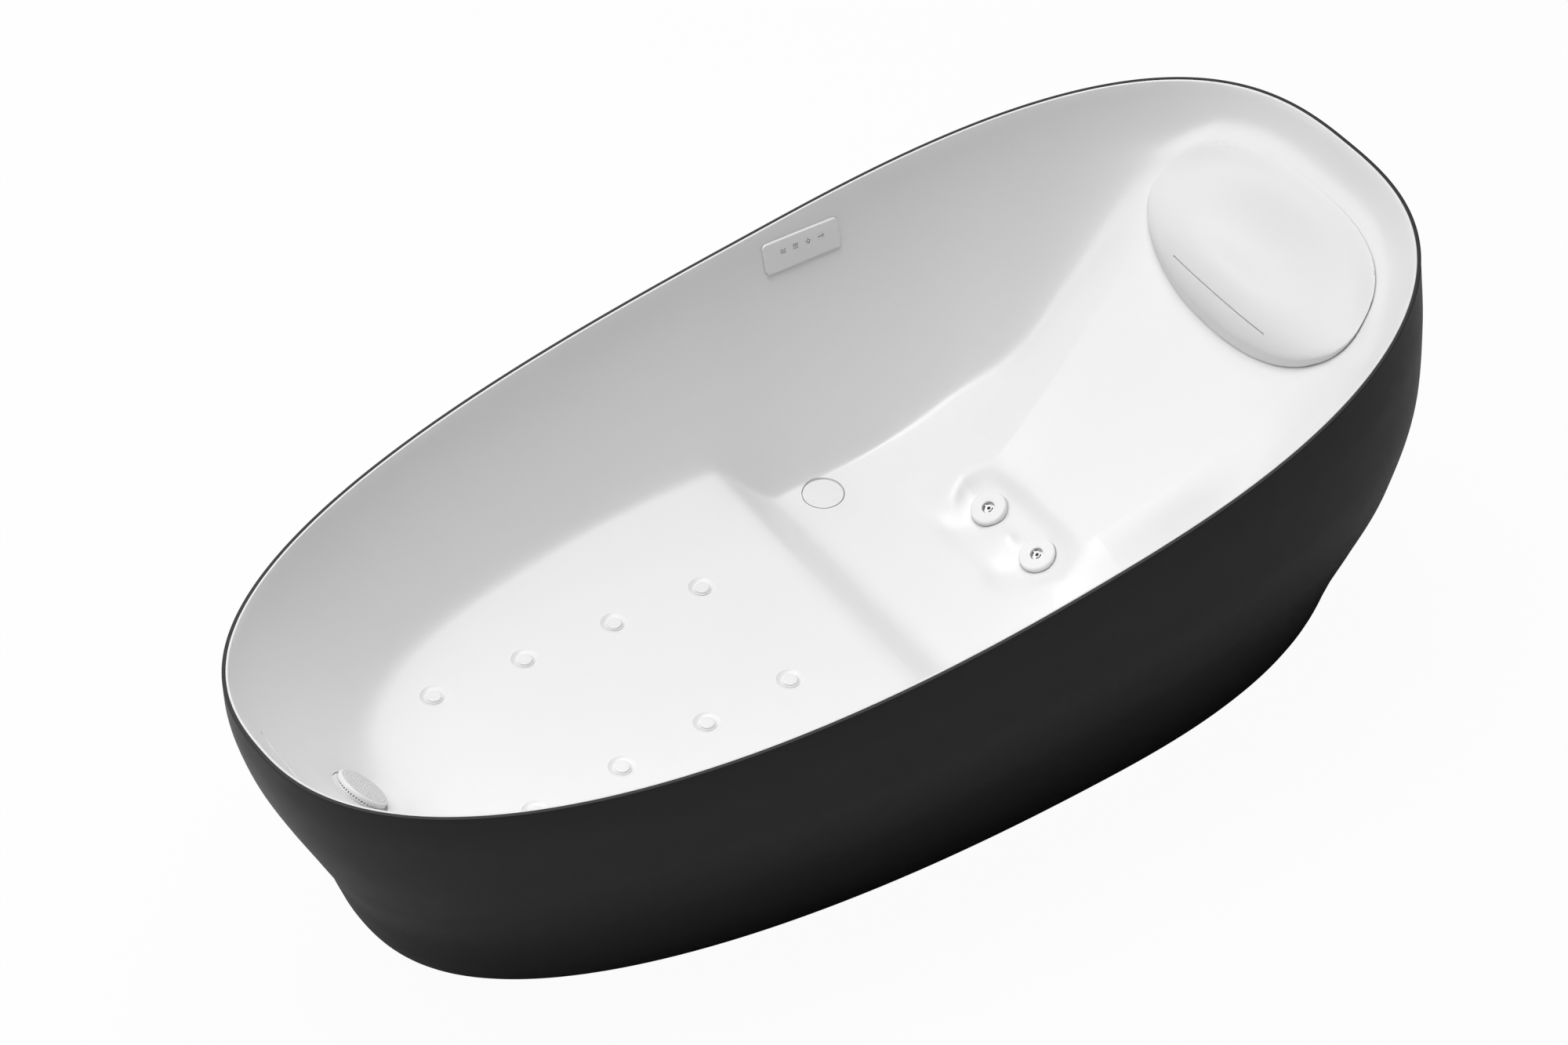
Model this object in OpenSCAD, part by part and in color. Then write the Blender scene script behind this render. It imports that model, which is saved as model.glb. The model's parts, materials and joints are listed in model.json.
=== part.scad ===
/* [Tub size] */
// Overall length of the tub
tub_l = 2200; // [2050:10:2300]
// Overall width of the tub
tub_w = 1050; // [980:10:1120]
// Height of the rim at the head end
head_h = 785; // [740:5:830]
// Height of the rim at its lowest, near the foot end
foot_h = 588; // [570:2:620]
// Distance from the foot end to the lowest place of the rim
rim_low_d = 150; // [100:10:250]
// Distance from the head end to the widest section
widest_d = 912; // [850:10:980]

/* [Skirt] */
// Thickness of the outer skirt
skirt_t = 6; // [4:0.5:8]
// Gap between the skirt and the floor
skirt_gap = 1.5; // [1:0.5:4]
// How far the base stands in from the rim at the foot end
foot_inset = 215; // [180:5:240]
// How far the base stands in from the rim at the head end
head_inset = 120; // [100:5:150]
// How far the base stands in from the rim at each side
side_inset = 125; // [100:5:150]

/* [Basin] */
// Thickness of the basin wall
basin_t = 10; // [8:0.5:12]
// Thickness of the basin lip at the top
lip_t = 3.7; // [3:0.1:5]
// Depth of the rebate that takes the top of the skirt
lip_h = 22; // [15:1:30]
// Height of the lowest floor, where the seat is
well_z = 190; // [170:5:210]
// Height of the foot plateau over the seat, at the step
step_h = 107; // [80:1:120]
// Share of the length from the foot end to the top of the step
step_share = 0.507; // [0.49:0.001:0.515]
// Run of the step between the plateau and the seat
step_run = 98; // [90:1:115]
// Rise of the plateau towards the foot end, as a share of its run
plateau_slope = 0.0366; // [0.02:0.002:0.05]
// Distance from the head end to the lower edge of the backrest
back_d = 625; // [600:5:650]
// Height of the backrest over the seat at its lower edge
back_h = 85; // [70:5:100]
// Slope of the backrest at its lower edge, as a share of its run
back_slope = 0.45; // [0.4:0.01:0.5]
// How much higher the sides of the backrest are than its middle
back_dish = 28; // [15:1:40]

/* [Fittings] */
// Distance from the foot end to the first air jet
jet_d = 413; // [400:5:440]
// Distance between air jets in a row
jet_pitch = 173.3; // [160:0.1:178]
// Distance of the first air jet from the middle line
jet_foot_y = 157.6; // [145:0.1:165]
// Distance of the last air jet from the middle line
jet_head_y = 132.6; // [120:0.1:140]
// Distance from the head end to the two lumbar jets
lumbar_d = 698; // [690:2:704]
// Distance between the two lumbar jets
lumbar_gap = 142; // [136:2:148]
// Distance from the foot of the step to the middle of the drain
drain_gap = 87; // [80:1:95]
// Distance of the drain from the middle line
drain_y = 296; // [285:1:300]
// Distance from the foot end to the middle of the suction fitting
suction_d = 176; // [165:1:190]
// Distance from the foot end to the overflow slit
overflow_d = 45; // [42:1:52]
// Distance from the head end to the middle of the control panel
panel_d = 813; // [790:1:840]
// Length of the control panel
panel_l = 155; // [140:1:170]
// Height of the control panel
panel_h = 58; // [50:1:64]
// How far the control panel stands off the wall
panel_out = 9; // [7:0.5:12]

/* [Pillow] */
// Length of the pillow, across the tub
pillow_l = 524; // [500:2:530]
// Depth of the pillow, along the tub
pillow_w = 221; // [205:1:224]
// Distance from the head end to the middle of the pillow
pillow_d = 172; // [168:1:178]
// Height of the pillow's face over the backrest
pillow_h = 91; // [82:1:98]

/* [Frame and machines] */
// Side of the square frame tubes
tube = 40; // [35:5:40]
// Clear height under the frame
frame_z = 40; // [36:1:42]
// Distance between the frame rails, middle to middle
rail_gap = 380; // [376:2:384]
// Distance of the pump and of the air line from the middle line
line_y = 125; // [122:1:128]
// Height of the pump shaft over the floor
line_z = 150; // [148:1:152]
// Outer diameter of the pump casing
pump_od = 120; // [112:2:120]
// Outer diameter of the blower casing
blower_od = 124; // [116:2:126]

/* [Hidden] */
head_x = tub_l / 2;
foot_x = -tub_l / 2;
wide_x = head_x - widest_d;
rim_b = tub_w / 2 - 5;
n_foot = 2.36;
n_head = 2.63;
rim_inset = skirt_t + 0.3 + lip_t;
step_x = foot_x + step_share * tub_l;
back_x = head_x - back_d;
lumbar_x = head_x - lumbar_d;
lumbar_y = lumbar_gap / 2;
drain_x = step_x + step_run + drain_gap;
suction_x = foot_x + suction_d;
overflow_x = foot_x + overflow_d;
panel_x = head_x - panel_d;

// Running gap between faces that only stand near each other, and between a shaft and its bearing
gap = 0.3;
run = 0.05;
// Corners of the pipes are balls this much larger than the pipe
knuckle = 1.2;

// Soft ramp: 0 well below x = 0, x well above it
function ramp(x, k) = x / k > 30 ? x : x / k < -30 ? 0 : k * ln(1 + exp(x / k));
function soft_max(a, b, k) = b + ramp(a - b, k);
function soft_min(a, b, k) = -soft_max(-a, -b, k);
function ease(t) = let (c = max(0, min(1, t))) c * c * (3 - 2 * c);

function rim_z(x) = foot_h + (head_h - foot_h) * pow((x - foot_x - rim_low_d) / (tub_l - rim_low_d), 2);
function half_l(x) = x > wide_x ? head_x - wide_x : wide_x - foot_x;
function power(x) = x > wide_x ? n_head : n_foot;
// Half width of the rim outline, moved in by d
function rim_y(x, d = 0) =
    let (n = power(x), u = abs(x - wide_x) / (half_l(x) - d))
    u >= 1 ? 0 : (rim_b - d) * pow(1 - pow(u, n), 1 / n);
function reach(x, y) =
    let (n = power(x))
    pow(pow(abs(x - wide_x) / (half_l(x) - rim_inset), n) + pow(abs(y) / (rim_b - rim_inset), n), 1 / n);

// Steepness of the inner wall: more at the foot end and beside the seat
function wall_k(x) =
    1060 + 170 * ease((step_x - x - 400) / 500) + 120 * ease((x - step_x) / 150) * (1 - ease((x - back_x) / 200));
function wall_z(x, y) =
    let (t = max(0, 1 - reach(x, y)))
    rim_z(x) - wall_k(x) * t - 50 * (1 - exp(-t / 0.05));
function plateau_z(x) = well_z + step_h + plateau_slope * (step_x - x);
function channel_z(x) = well_z + 5 + 0.46 * ramp(x - back_x + 115, 60) + 0.5 * ramp(x - back_x - 225, 50)
    + 26 * ease((x - back_x - 90) / 170) * (1 - ease((x - back_x - 400) / 100));
function back_w(x) = 135 + 0.26 * max(0, min(400, x - back_x));
// Height of the backrest, a cradle that gets steeper towards the head
function back_z(x, y) =
    let (d = x - back_x)
    well_z + back_h + back_slope * d + 0.0005 * d * abs(d) + back_dish * pow(y / 219, 2);
function raised_z(x, y) =
    let (c = channel_z(x), side = 1 - pow(ease((abs(y) - back_w(x) + 4) / 114), 0.7))
    c + (soft_max(well_z + 5, back_z(x, y), 8) - c) * side * ease((x - back_x + 175) / 60);
// Lumbar niche: a scoop for each jet, one shared wall above them and a low ridge between them
function niche_z(x, y) =
    let (edge = pow(pow(max(0, x - lumbar_x + 37) / 90, 3) + pow(abs(y) / 143, 3), 1 / 3))
    well_z + 11 + 0.42 * ramp(x - lumbar_x + 51, 8) + 0.45 * ramp(48 - abs(y), 7) * ease((lumbar_x + 12 - x) / 40)
    + 0.3 * ramp(abs(y) - 82, 8) * ease((lumbar_x - x) / 50) + 130 * ramp(edge - 0.875, 0.09)
    + 0.5 * ramp(lumbar_x - 95 - x, 12);
// Height of the floor: plateau, step, seat, backrest and niche; soft is the blend radius
function floor_z(x, y, soft) =
    let (down = 1 - ramp((x - step_x) / step_run, 0.09) + ramp((x - step_x) / step_run - 1, 0.09),
         seat = soft_min(raised_z(x, y), niche_z(x, y), min(soft, 8)))
    seat + (plateau_z(x) - seat) * down;
function blend_r(x) = 6 + 9 * ease((step_x + 60 - x) / 130) + 6 * ease((x - back_x + 145) / 120)
    + 28 * ease((x - back_x - 85) / 300);
// Shallow recess round the suction fitting
function recess_z(x, y) = 14 * exp(-pow(norm([(x - suction_x) / 0.8, y]) / 66, 4));
function basin_z(x, y, soft = 5) =
    let (k = 1 + (blend_r(x) - 1) * ease((1 - reach(x, y)) / 0.09))
    soft_max(wall_z(x, y), floor_z(x, y, soft), k) - recess_z(x, y);

// Stations along the tub: close together at the ends, at the step and at the lumbar niche
function round_end(x0, x1, count) = [for (i = [0 : count - 1]) x0 + (x1 - x0) * (1 - cos(90 * i / count))];
function even(x0, x1, count) = [for (i = [0 : count - 1]) x0 + (x1 - x0) * i / count];
function flip(list) = [for (i = [len(list) - 1 : -1 : 0]) list[i]];
STATIONS = concat(
    round_end(foot_x, step_x - 40, 20), even(step_x - 40, step_x + step_run + 35, 10),
    even(step_x + step_run + 35, lumbar_x - 110, 4), even(lumbar_x - 110, back_x + 75, 10),
    flip(round_end(head_x, back_x + 75, 18)), [head_x]);
LAST = len(STATIONS) - 1;
ACROSS = [0, 0.09, 0.18, 0.27, 0.33, 0.38, 0.42, 0.46, 0.5, 0.56, 0.62, 0.69, 0.77, 0.85, 0.92, 0.97, 1];
UNDER = [0, 0.18, 0.33, 0.42, 0.5, 0.56, 0.62, 0.69, 0.77, 0.85, 0.92];

// Place of a mesh point: station i, share v of the half width
function spine(x) = wide_x + (x - wide_x) * (1 - 0.2 * pow(abs(x - wide_x) / half_l(x), 4));
function inward(x, d) = wide_x + (x - wide_x) * (half_l(x) - d) / half_l(x);
// The share at which a mesh line follows the edge of the backrest is KNOT
KNOT = 0.42;
function knot_share(x, half) =
    let (follow = half > 0 ? min(0.62, back_w(x) / half) : 0.62, on = ease((x - step_x - 60) / 150))
    KNOT + (follow - KNOT) * on;
function share(x, half, w) =
    let (k = knot_share(x, half))
    w < KNOT ? w * k / KNOT : k + (w - KNOT) * (1 - k) / (1 - KNOT);
function plan(i, v, d) =
    let (x = STATIONS[i], xr = inward(x, d), xs = spine(xr), half = rim_y(xr, d),
         w = share(xs + 0.3 * (xr - xs), half, abs(v)))
    [xs + (xr - xs) * pow(w, 1.5), sign(v) * w * half];
function on_basin(p) = [p.x, p.y, basin_z(p.x, p.y)];
// Unit normal of the basin surface
function normal_at(x, y, soft = 5) =
    let (e = 1.5, gx = (basin_z(x + e, y, soft) - basin_z(x - e, y, soft)) / (2 * e),
         gy = (basin_z(x, y + e, soft) - basin_z(x, y - e, soft)) / (2 * e))
    [-gx, -gy, 1] / norm([gx, gy, 1]);
function under_basin(p) =
    [p.x, p.y, basin_z(p.x, p.y, 25)] - normal_at(p.x, p.y, 25) * basin_t;
function rim_point(i, side, d, drop) =
    let (x = inward(STATIONS[i], d)) [x, side * rim_y(x, d), rim_z(x) - drop];

// Rows of points across one station, from the -Y rim to the +Y rim
function both_sides(list) = concat([for (i = [len(list) - 1 : -1 : 1]) -list[i]], list);
TOP = both_sides(ACROSS);
BELOW = both_sides(UNDER);
function top_row(i) = [for (v = TOP) on_basin(plan(i, v, rim_inset))];
function below_row(i) = [for (v = flip(BELOW)) under_basin(plan(i, v, rim_inset))];
function basin_row(i) = concat(
    top_row(i),
    [rim_point(i, 1, skirt_t + 0.3, 0), rim_point(i, 1, skirt_t + 0.3, lip_h)],
    below_row(i),
    [rim_point(i, -1, skirt_t + 0.3, lip_h), rim_point(i, -1, skirt_t + 0.3, 0)]);
ROW = len(TOP) + len(BELOW) + 4;
// The two end stations fold shut along the middle, so mirrored points there are one point
function fold(i, j) =
    let (k = (j % ROW + ROW) % ROW, half = (len(TOP) - 1) / 2, b0 = len(TOP) + 2)
    i > 0 && i < LAST ? i * ROW + k :
    k < half ? i * ROW + 2 * half - k :
    k < len(TOP) + 2 ? i * ROW + k :
    k >= ROW - 2 ? i * ROW + len(TOP) + (ROW - 1 - k) :
    k - b0 <= (len(BELOW) - 1) / 2 ? i * ROW + k : i * ROW + b0 + len(BELOW) - 1 - (k - b0);
function three(a, b, c) = a == b || b == c || a == c ? [] : [[a, b, c]];
BASIN_FACES = [for (i = [0 : LAST - 1]) for (j = [0 : ROW - 1])
    let (a = fold(i, j), b = fold(i, j + 1), c = fold(i + 1, j + 1), d = fold(i + 1, j))
    each concat(three(a, b, c), three(a, c, d))];

// Skirt profile: shares of the insets at seven heights, joined by smooth curves
LEVELS = [0, 0.05, 0.12, 0.2, 0.3, 0.45, 0.7, 0.85, 0.95, 1];
FOOT_CURVE = [1, 0.85, 0.74, 0.67, 0.59, 0.42, 0.14, 0.03, 0, 0];
HEAD_CURVE = [1, 0.8, 0.66, 0.5, 0.26, 0.07, 0, 0, 0, 0];
SIDE_CURVE = [1, 0.83, 0.75, 0.65, 0.52, 0.26, 0, 0, 0.02, 0.04];
HEAD_POWER = [2.44, 2.5, 2.55, 2.6, 2.7, 2.8, 2.88, 2.8, 2.68, 2.63];
function knot_slope(v, k) =
    k == 0 ? (v[1] - v[0]) / (LEVELS[1] - LEVELS[0]) : k == len(v) - 1 ? 0 :
    (v[k + 1] - v[k]) * (v[k] - v[k - 1]) <= 0 ? 0 :
    (v[k + 1] - v[k - 1]) / (LEVELS[k + 1] - LEVELS[k - 1]);
function smooth(v, s) =
    let (k = max([for (i = [0 : len(LEVELS) - 2]) if (s >= LEVELS[i]) i]), h = LEVELS[k + 1] - LEVELS[k],
         t = (s - LEVELS[k]) / h, m0 = knot_slope(v, k) * h, m1 = knot_slope(v, k + 1) * h)
    (2 * t * t * t - 3 * t * t + 1) * v[k] + (t * t * t - 2 * t * t + t) * m0
    + (3 * t * t - 2 * t * t * t) * v[k + 1] + (t * t * t - t * t) * m1;
function skirt_point(x, side, s, inset) =
    let (w = pow(abs(x - wide_x) / half_l(x), power(x)), xc = wide_x + 100 * (1 - s),
         head = x > wide_x, n = head ? smooth(HEAD_POWER, s) : 2.26 + 0.1 * s,
         a = head ? head_x - head_inset * smooth(HEAD_CURVE, s) - xc
                  : foot_x + foot_inset * smooth(FOOT_CURVE, s) - xc,
         b = tub_w / 2 - side_inset * smooth(SIDE_CURVE, s))
    [xc + (a - (head ? inset : -inset)) * pow(w, 1 / n), side * (b - inset) * pow(max(0, 1 - w), 1 / n),
     skirt_gap + s * (rim_z(x) - skirt_gap)];
function skirt_ring(s, inset) = concat(
    [for (i = [0 : LAST]) skirt_point(STATIONS[i], 1, s, inset)],
    [for (i = [LAST - 1 : -1 : 1]) skirt_point(STATIONS[i], -1, s, inset)]);
SKIRT_OUT = [0, 0.02, 0.05, 0.09, 0.14, 0.2, 0.27, 0.36, 0.47, 0.6, 0.74, 0.88, 0.95, 1];
SKIRT_IN = [1, 0.95, 0.74, 0.47, 0.27, 0.14, 0.05, 0];
// Faces that join closed rings of points into a tube, and back to the first ring
function loop_faces(rings, count) = [for (r = [0 : rings - 1]) for (i = [0 : count - 1])
    let (r2 = (r + 1) % rings, j = (i + 1) % count)
    each [[r * count + i, r2 * count + i, r2 * count + j], [r * count + i, r2 * count + j, r * count + j]]];

// Pillow: outline seen from above, and its top
pillow_x = head_x - pillow_d;
PILLOW_COUNT = 44;
pillow_bulge = 4;
function signed_pow(c, p) = sign(c) * pow(abs(c), p);
function pillow_xy(angle, r) =
    let (u = signed_pow(cos(angle), 0.85))
    [pillow_x + pillow_w / 2 * u * r, pillow_l / 2 * (1 - 0.124 * u) * signed_pow(sin(angle), 0.85) * r];
pillow_front = pillow_x - pillow_w / 2;
function pillow_top(p) = soft_max(
    basin_z(pillow_front, 0) + pillow_h + 0.58 * (p.x - pillow_front), basin_z(p.x, p.y) + 8, 6);
function pillow_skin(angle, r) =
    let (p = pillow_xy(angle, r), round_off = max(0, (r - 0.5) / 0.5),
         low = basin_z(p.x, p.y) + 2, top = pillow_top(p) - 20 * pow(max(0, 1 - 1.9 * r * r), 2),
         wall = 0.38)
    [p.x, p.y, low + (top - low) * (wall + (1 - wall) * sqrt(max(0, 1 - pow(round_off, 2.4))))];
function pillow_side(angle, up) =
    let (p = pillow_xy(angle, 1), low = basin_z(p.x, p.y) + 5, edge = pillow_skin(angle, 1).z,
         bulge = pillow_bulge * max(0, -cos(angle)) * up)
    [p.x - bulge, p.y, low + (edge - low) * up];
function pillow_ring(k, angle) =
    k < 3 ? let (p = pillow_xy(angle, [0.4, 0.75, 0.96][k])) [p.x, p.y, basin_z(p.x, p.y) + [2, 4, 7][k]]
    : k < 6 ? pillow_side(angle, [0.05, 0.5, 1][k - 3])
    : let (r = [0.985, 0.95, 0.89, 0.8, 0.66, 0.45, 0.22][k - 6], q = pillow_skin(angle, r),
           bulge = pillow_bulge * max(0, -cos(angle)) * pow(r, 8)) [q.x - bulge, q.y, q.z];
PILLOW_RINGS = 13;
PILLOW_POINTS = concat(
    [for (k = [0 : PILLOW_RINGS - 1]) for (i = [0 : PILLOW_COUNT - 1]) pillow_ring(k, 360 * i / PILLOW_COUNT)],
    [[pillow_x, 0, basin_z(pillow_x, 0) + 2], pillow_skin(0, 0)]);
function cap(first, centre, turn) = [for (i = [0 : PILLOW_COUNT - 1])
    let (a = first + i, b = first + (i + 1) % PILLOW_COUNT) turn ? [a, b, centre] : [b, a, centre]];
PILLOW_FACES = concat(
    [for (r = [0 : PILLOW_RINGS - 2]) for (i = [0 : PILLOW_COUNT - 1])
        let (a = r * PILLOW_COUNT + i, b = r * PILLOW_COUNT + (i + 1) % PILLOW_COUNT,
             c = b + PILLOW_COUNT, d = a + PILLOW_COUNT) each [[a, c, b], [a, d, c]]],
    cap(0, PILLOW_RINGS * PILLOW_COUNT, true),
    cap((PILLOW_RINGS - 1) * PILLOW_COUNT, PILLOW_RINGS * PILLOW_COUNT + 1, false));

// Places of the fittings
function jet_xy(k, side) = [foot_x + jet_d + k * jet_pitch, side * (jet_foot_y + (jet_head_y - jet_foot_y) * k / 3)];
function below(p, d) = on_basin(p) - d * normal_at(p.x, p.y);
SIDES = [-1, 1];
suction_at = [suction_x, 0];
overflow_at = [overflow_x, 0];
drain_z = basin_z(drain_x, drain_y);
function lumbar_at(side) = [lumbar_x, side * lumbar_y];
panel_y = rim_y(panel_x, rim_inset) - 17;
panel_at = [panel_x, panel_y];

// Wall build-up
boss_low = 18;
jet_dish = 4;
jet_shank = 25.4;
jet_hole = jet_shank + 2 * gap;
jet_socket = 72;
jet_spigot = 18;
lumbar_shank = 44;
lumbar_flange = 66;
suction_shank = 60;
suction_flange = 104;
suction_cover_d = 94;
drain_shank = 46;
drain_cover_d = 75;
drain_seat = 8;
key_w = 12;
overflow_l = 132;
water_od = 26;
water_bore = 20;
water_z = line_z - 34;
hose_od = 38;
air_od = 30;
air_bore = 24;
suction_od = 44;
suction_bore = 36;
rail_z = frame_z + tube;
rail_y = rail_gap / 2;
RAILS = [foot_x + 400, head_x - 270];
CROSS = [foot_x + 440, foot_x + 680, step_x - 25, drain_x + 100, head_x - 480, head_x - 300];
FEET = [foot_x + 440, step_x + 110, head_x - 400];
LEGS = [foot_x + 500, foot_x + 845, step_x - 45, drain_x + 50, head_x - 340];

module rod(a, b, d) {
    v = b - a;
    translate(a) rotate([0, acos(v.z / norm(v)), atan2(v.y, v.x)]) cylinder(h = norm(v), d = d, $fn = 48);
}
// A run of straight tubes with rounded corners, its ends moved out by longer
module run_of(points, d, longer = 0) {
    last = len(points) - 1;
    first = points[0] - longer * (points[1] - points[0]) / norm(points[1] - points[0]);
    final = points[last] + longer * (points[last] - points[last - 1]) / norm(points[last] - points[last - 1]);
    for (i = [0 : last - 1]) rod(i == 0 ? first : points[i], i == last - 1 ? final : points[i + 1], d);
    if (last > 1) for (i = [1 : last - 1]) translate(points[i]) sphere(d = d + knuckle, $fn = 48);
}
module pipe(points, d, bore) {
    difference() {
        run_of(points, d);
        run_of(points, bore, 1);
    }
}
// Local frame on the basin: Z along the surface normal
module at_surface(p) {
    n = normal_at(p.x, p.y);
    translate(on_basin(p)) rotate([0, acos(n.z), atan2(n.y, n.x)]) children();
}
module disc(z0, z1, d) {
    translate([0, 0, z0]) cylinder(h = z1 - z0, d = d, $fn = 64);
}
module ring(z0, z1, d, bore) {
    difference() {
        disc(z0, z1, d);
        disc(z0 - 1, z1 + 1, bore);
    }
}
module hex_nut(z0, z1, across, bore) {
    difference() {
        translate([0, 0, z0]) cylinder(h = z1 - z0, d = across / cos(30), $fn = 6);
        disc(z0 - 1, z1 + 1, bore);
    }
}
// Plate with rounded corners, x by y, centred
module rounded(x, y, r, z0, z1) {
    translate([-x / 2 + r, -y / 2, z0]) cube([x - 2 * r, y, z1 - z0]);
    translate([-x / 2, -y / 2 + r, z0]) cube([x, y - 2 * r, z1 - z0]);
    for (i = SIDES) for (j = SIDES) translate([i * (x / 2 - r), j * (y / 2 - r), 0]) disc(z0, z1, 2 * r);
}
module box(low, high) {
    translate(low) cube(high - low);
}

// Tub shells
module outer_skirt() {
    color("dimgray") polyhedron(
        concat([for (s = SKIRT_OUT) each skirt_ring(s, 0)], [for (s = SKIRT_IN) each skirt_ring(s, skirt_t)]),
        loop_faces(len(SKIRT_OUT) + len(SKIRT_IN), 2 * LAST), convexity = 6);
}
module basin_block() {
    polyhedron([for (i = [0 : LAST]) each basin_row(i)], BASIN_FACES, convexity = 6);
}
module basin() {
    color("white") difference() {
        union() {
            basin_block();
            at_surface(suction_at) disc(-boss_low, -4, 92);
            translate([drain_x, drain_y, drain_z]) disc(-boss_low, -4, 92);
            for (s = SIDES) at_surface(lumbar_at(s)) disc(-boss_low, -4, 66);
            at_surface(overflow_at) box([-9, -overflow_l / 2 - 6, -14], [17, overflow_l / 2 + 6, -4]);
        }
        for (k = [0 : 3]) for (s = SIDES) at_surface(jet_xy(k, s)) {
            translate([0, 0, -jet_dish]) cylinder(h = jet_dish + 0.4, d1 = 33, d2 = 48, $fn = 48);
            disc(-20, 1, jet_hole);
        }
        for (s = SIDES) at_surface(lumbar_at(s)) {
            disc(-0.6, 30, lumbar_flange + 2);
            disc(-30, 1, lumbar_shank + 2 * gap);
        }
        at_surface(suction_at) {
            disc(-2, 30, suction_flange + 2);
            disc(-30, 1, suction_shank + 2 * gap);
        }
        translate([drain_x, drain_y, drain_z]) {
            disc(-drain_seat, 13, drain_cover_d + 2);
            disc(-30, 1, drain_shank + 2 * gap);
        }
        at_surface(overflow_at) box([-2.5, -overflow_l / 2, -20], [2.5, overflow_l / 2, 20]);
        at_surface(panel_at) {
            rounded(panel_h + 1, panel_l + 1, 8, -2, 30);
            disc(-30, 1, 8);
        }
        translate([spout_x, 0, 0]) disc(spout_low - 80, spout_low + 40, water_od + 8 + 2 * gap);
        for (s = SIDES) translate([peg_x, s * peg_y, basin_z(peg_x, peg_y)]) disc(-60, 30, sleeve_od + 2 * gap);
    }
}
peg_x = pillow_x - 28;
peg_y = 150;
sleeve_od = 19.4;
peg_od = 12;
spout_x = pillow_x - 52;
slot_l = 252;
spout_low = basin_z(spout_x, 0) - 20;
spout_z = basin_z(pillow_front, 0) + 0.84 * pillow_h;

// Headrest
module headrest_pillow() {
    color("white") difference() {
        polyhedron(PILLOW_POINTS, PILLOW_FACES, convexity = 4);
        box([pillow_front - 30, -slot_l / 2, spout_z - 1.8], [pillow_front + 20, slot_l / 2, spout_z + 1.8]);
        box([pillow_front + 19.7, -131, spout_z - 2.8], [spout_x - 7.5, 131, spout_z + 2.8]);
        box([spout_x - 20, -10.5, spout_z - 2.8], [spout_x + 12.5, 10.5, spout_z + 2.8]);
        translate([spout_x, 0, 0]) disc(spout_low - 20, spout_z, water_od + 8 + 1);
        for (s = SIDES) translate([peg_x, s * peg_y, 0]) disc(400, basin_z(peg_x, peg_y) + 30, peg_od + 0.6);
    }
}
module waterfall_spout() {
    color("silver") difference() {
        union() {
            box([pillow_front + 20, -130, spout_z - 2.5], [spout_x - 8, 130, spout_z + 2.5]);
            box([spout_x - 20, -10, spout_z - 2.5], [spout_x + 12, 10, spout_z + 2.5]);
            translate([spout_x, 0, 0]) disc(spout_low - 12, spout_z, 22);
        }
        box([pillow_front + 19, -127, spout_z - 1.3], [spout_x - 11, 127, spout_z + 1.3]);
        box([spout_x - 20, -8, spout_z - 1.3], [spout_x + 9, 8, spout_z + 1.3]);
        translate([spout_x, 0, 0]) disc(spout_low - 13, spout_z, 16);
    }
}
module pillow_pegs() {
    color("lightgray") for (s = SIDES) translate([peg_x, s * peg_y, basin_z(peg_x, peg_y)]) disc(-22, 29.7, peg_od);
}
module pillow_sleeves() {
    color("lightgray") for (s = SIDES) translate([peg_x, s * peg_y, basin_z(peg_x, peg_y)]) difference() {
        disc(-26, -6, sleeve_od);
        disc(-22.3, 0, peg_od + 0.6);
    }
}

// Air jets
module air_jet_bodies() {
    color("gainsboro") for (k = [0 : 3]) for (s = SIDES) at_surface(jet_xy(k, s)) difference() {
        union() {
            disc(-jet_dish + gap, -2.4, 32);
            disc(-34, -jet_dish + gap, jet_shank);
            disc(-52, -34, jet_spigot);
        }
        disc(-53, 0, 13.6);
    }
}
module air_jet_caps() {
    color("white") for (k = [0 : 3]) for (s = SIDES) at_surface(jet_xy(k, s)) difference() {
        union() {
            disc(-14, -2.1, 13.4);
            disc(-2.1, -0.3, 26.6);
            translate([0, 0, -0.3]) cylinder(h = 1.3, d1 = 26.6, d2 = 23, $fn = 48);
        }
        box([-3, -3, -15], [3, 3, -2.6]);
        for (a = [0, 90]) rotate([0, 0, a]) box([-12, -1.5, -8], [12, 1.5, -1.6]);
    }
}
module air_jet_gaskets() {
    color("dimgray") for (k = [0 : 3]) for (s = SIDES) at_surface(jet_xy(k, s))
        ring(-basin_t - 2, -basin_t - gap, 36, jet_hole);
}
module air_jet_nuts() {
    color("white") for (k = [0 : 3]) for (s = SIDES) at_surface(jet_xy(k, s))
        hex_nut(-basin_t - 11, -basin_t - 2.3, 36, jet_hole);
}
function row_point(k, side) = below(jet_xy(k, side), jet_socket);
manifold_x = step_x - 95;
function row_end(side) =
    let (a = row_point(0, side), b = row_point(3, side)) a + (b - a) * (manifold_x - a.x) / (b.x - a.x);
manifold_z = row_end(1).z;
module manifold_lines(d) {
    for (s = SIDES) {
        rod(row_point(0, s), row_end(s), d);
        for (p = [row_point(0, s), row_end(s)]) translate(p) sphere(d = d + knuckle, $fn = 48);
    }
    rod(row_end(-1), row_end(1), d);
}
module air_manifold() {
    color("lightgray") difference() {
        union() {
            manifold_lines(28);
            for (k = [0 : 3]) for (s = SIDES) rod(row_point(k, s), below(jet_xy(k, s), 41), 26);
            rod([manifold_x, line_y, manifold_z], [manifold_x, line_y, manifold_z - 44], air_od);
        }
        manifold_lines(22);
        for (k = [0 : 3]) for (s = SIDES) rod(row_point(k, s), below(jet_xy(k, s), 40), jet_spigot + 2 * gap);
        rod([manifold_x, line_y, manifold_z], [manifold_x, line_y, manifold_z - 45], air_bore);
    }
}
valve_x = head_x - 600;
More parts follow.
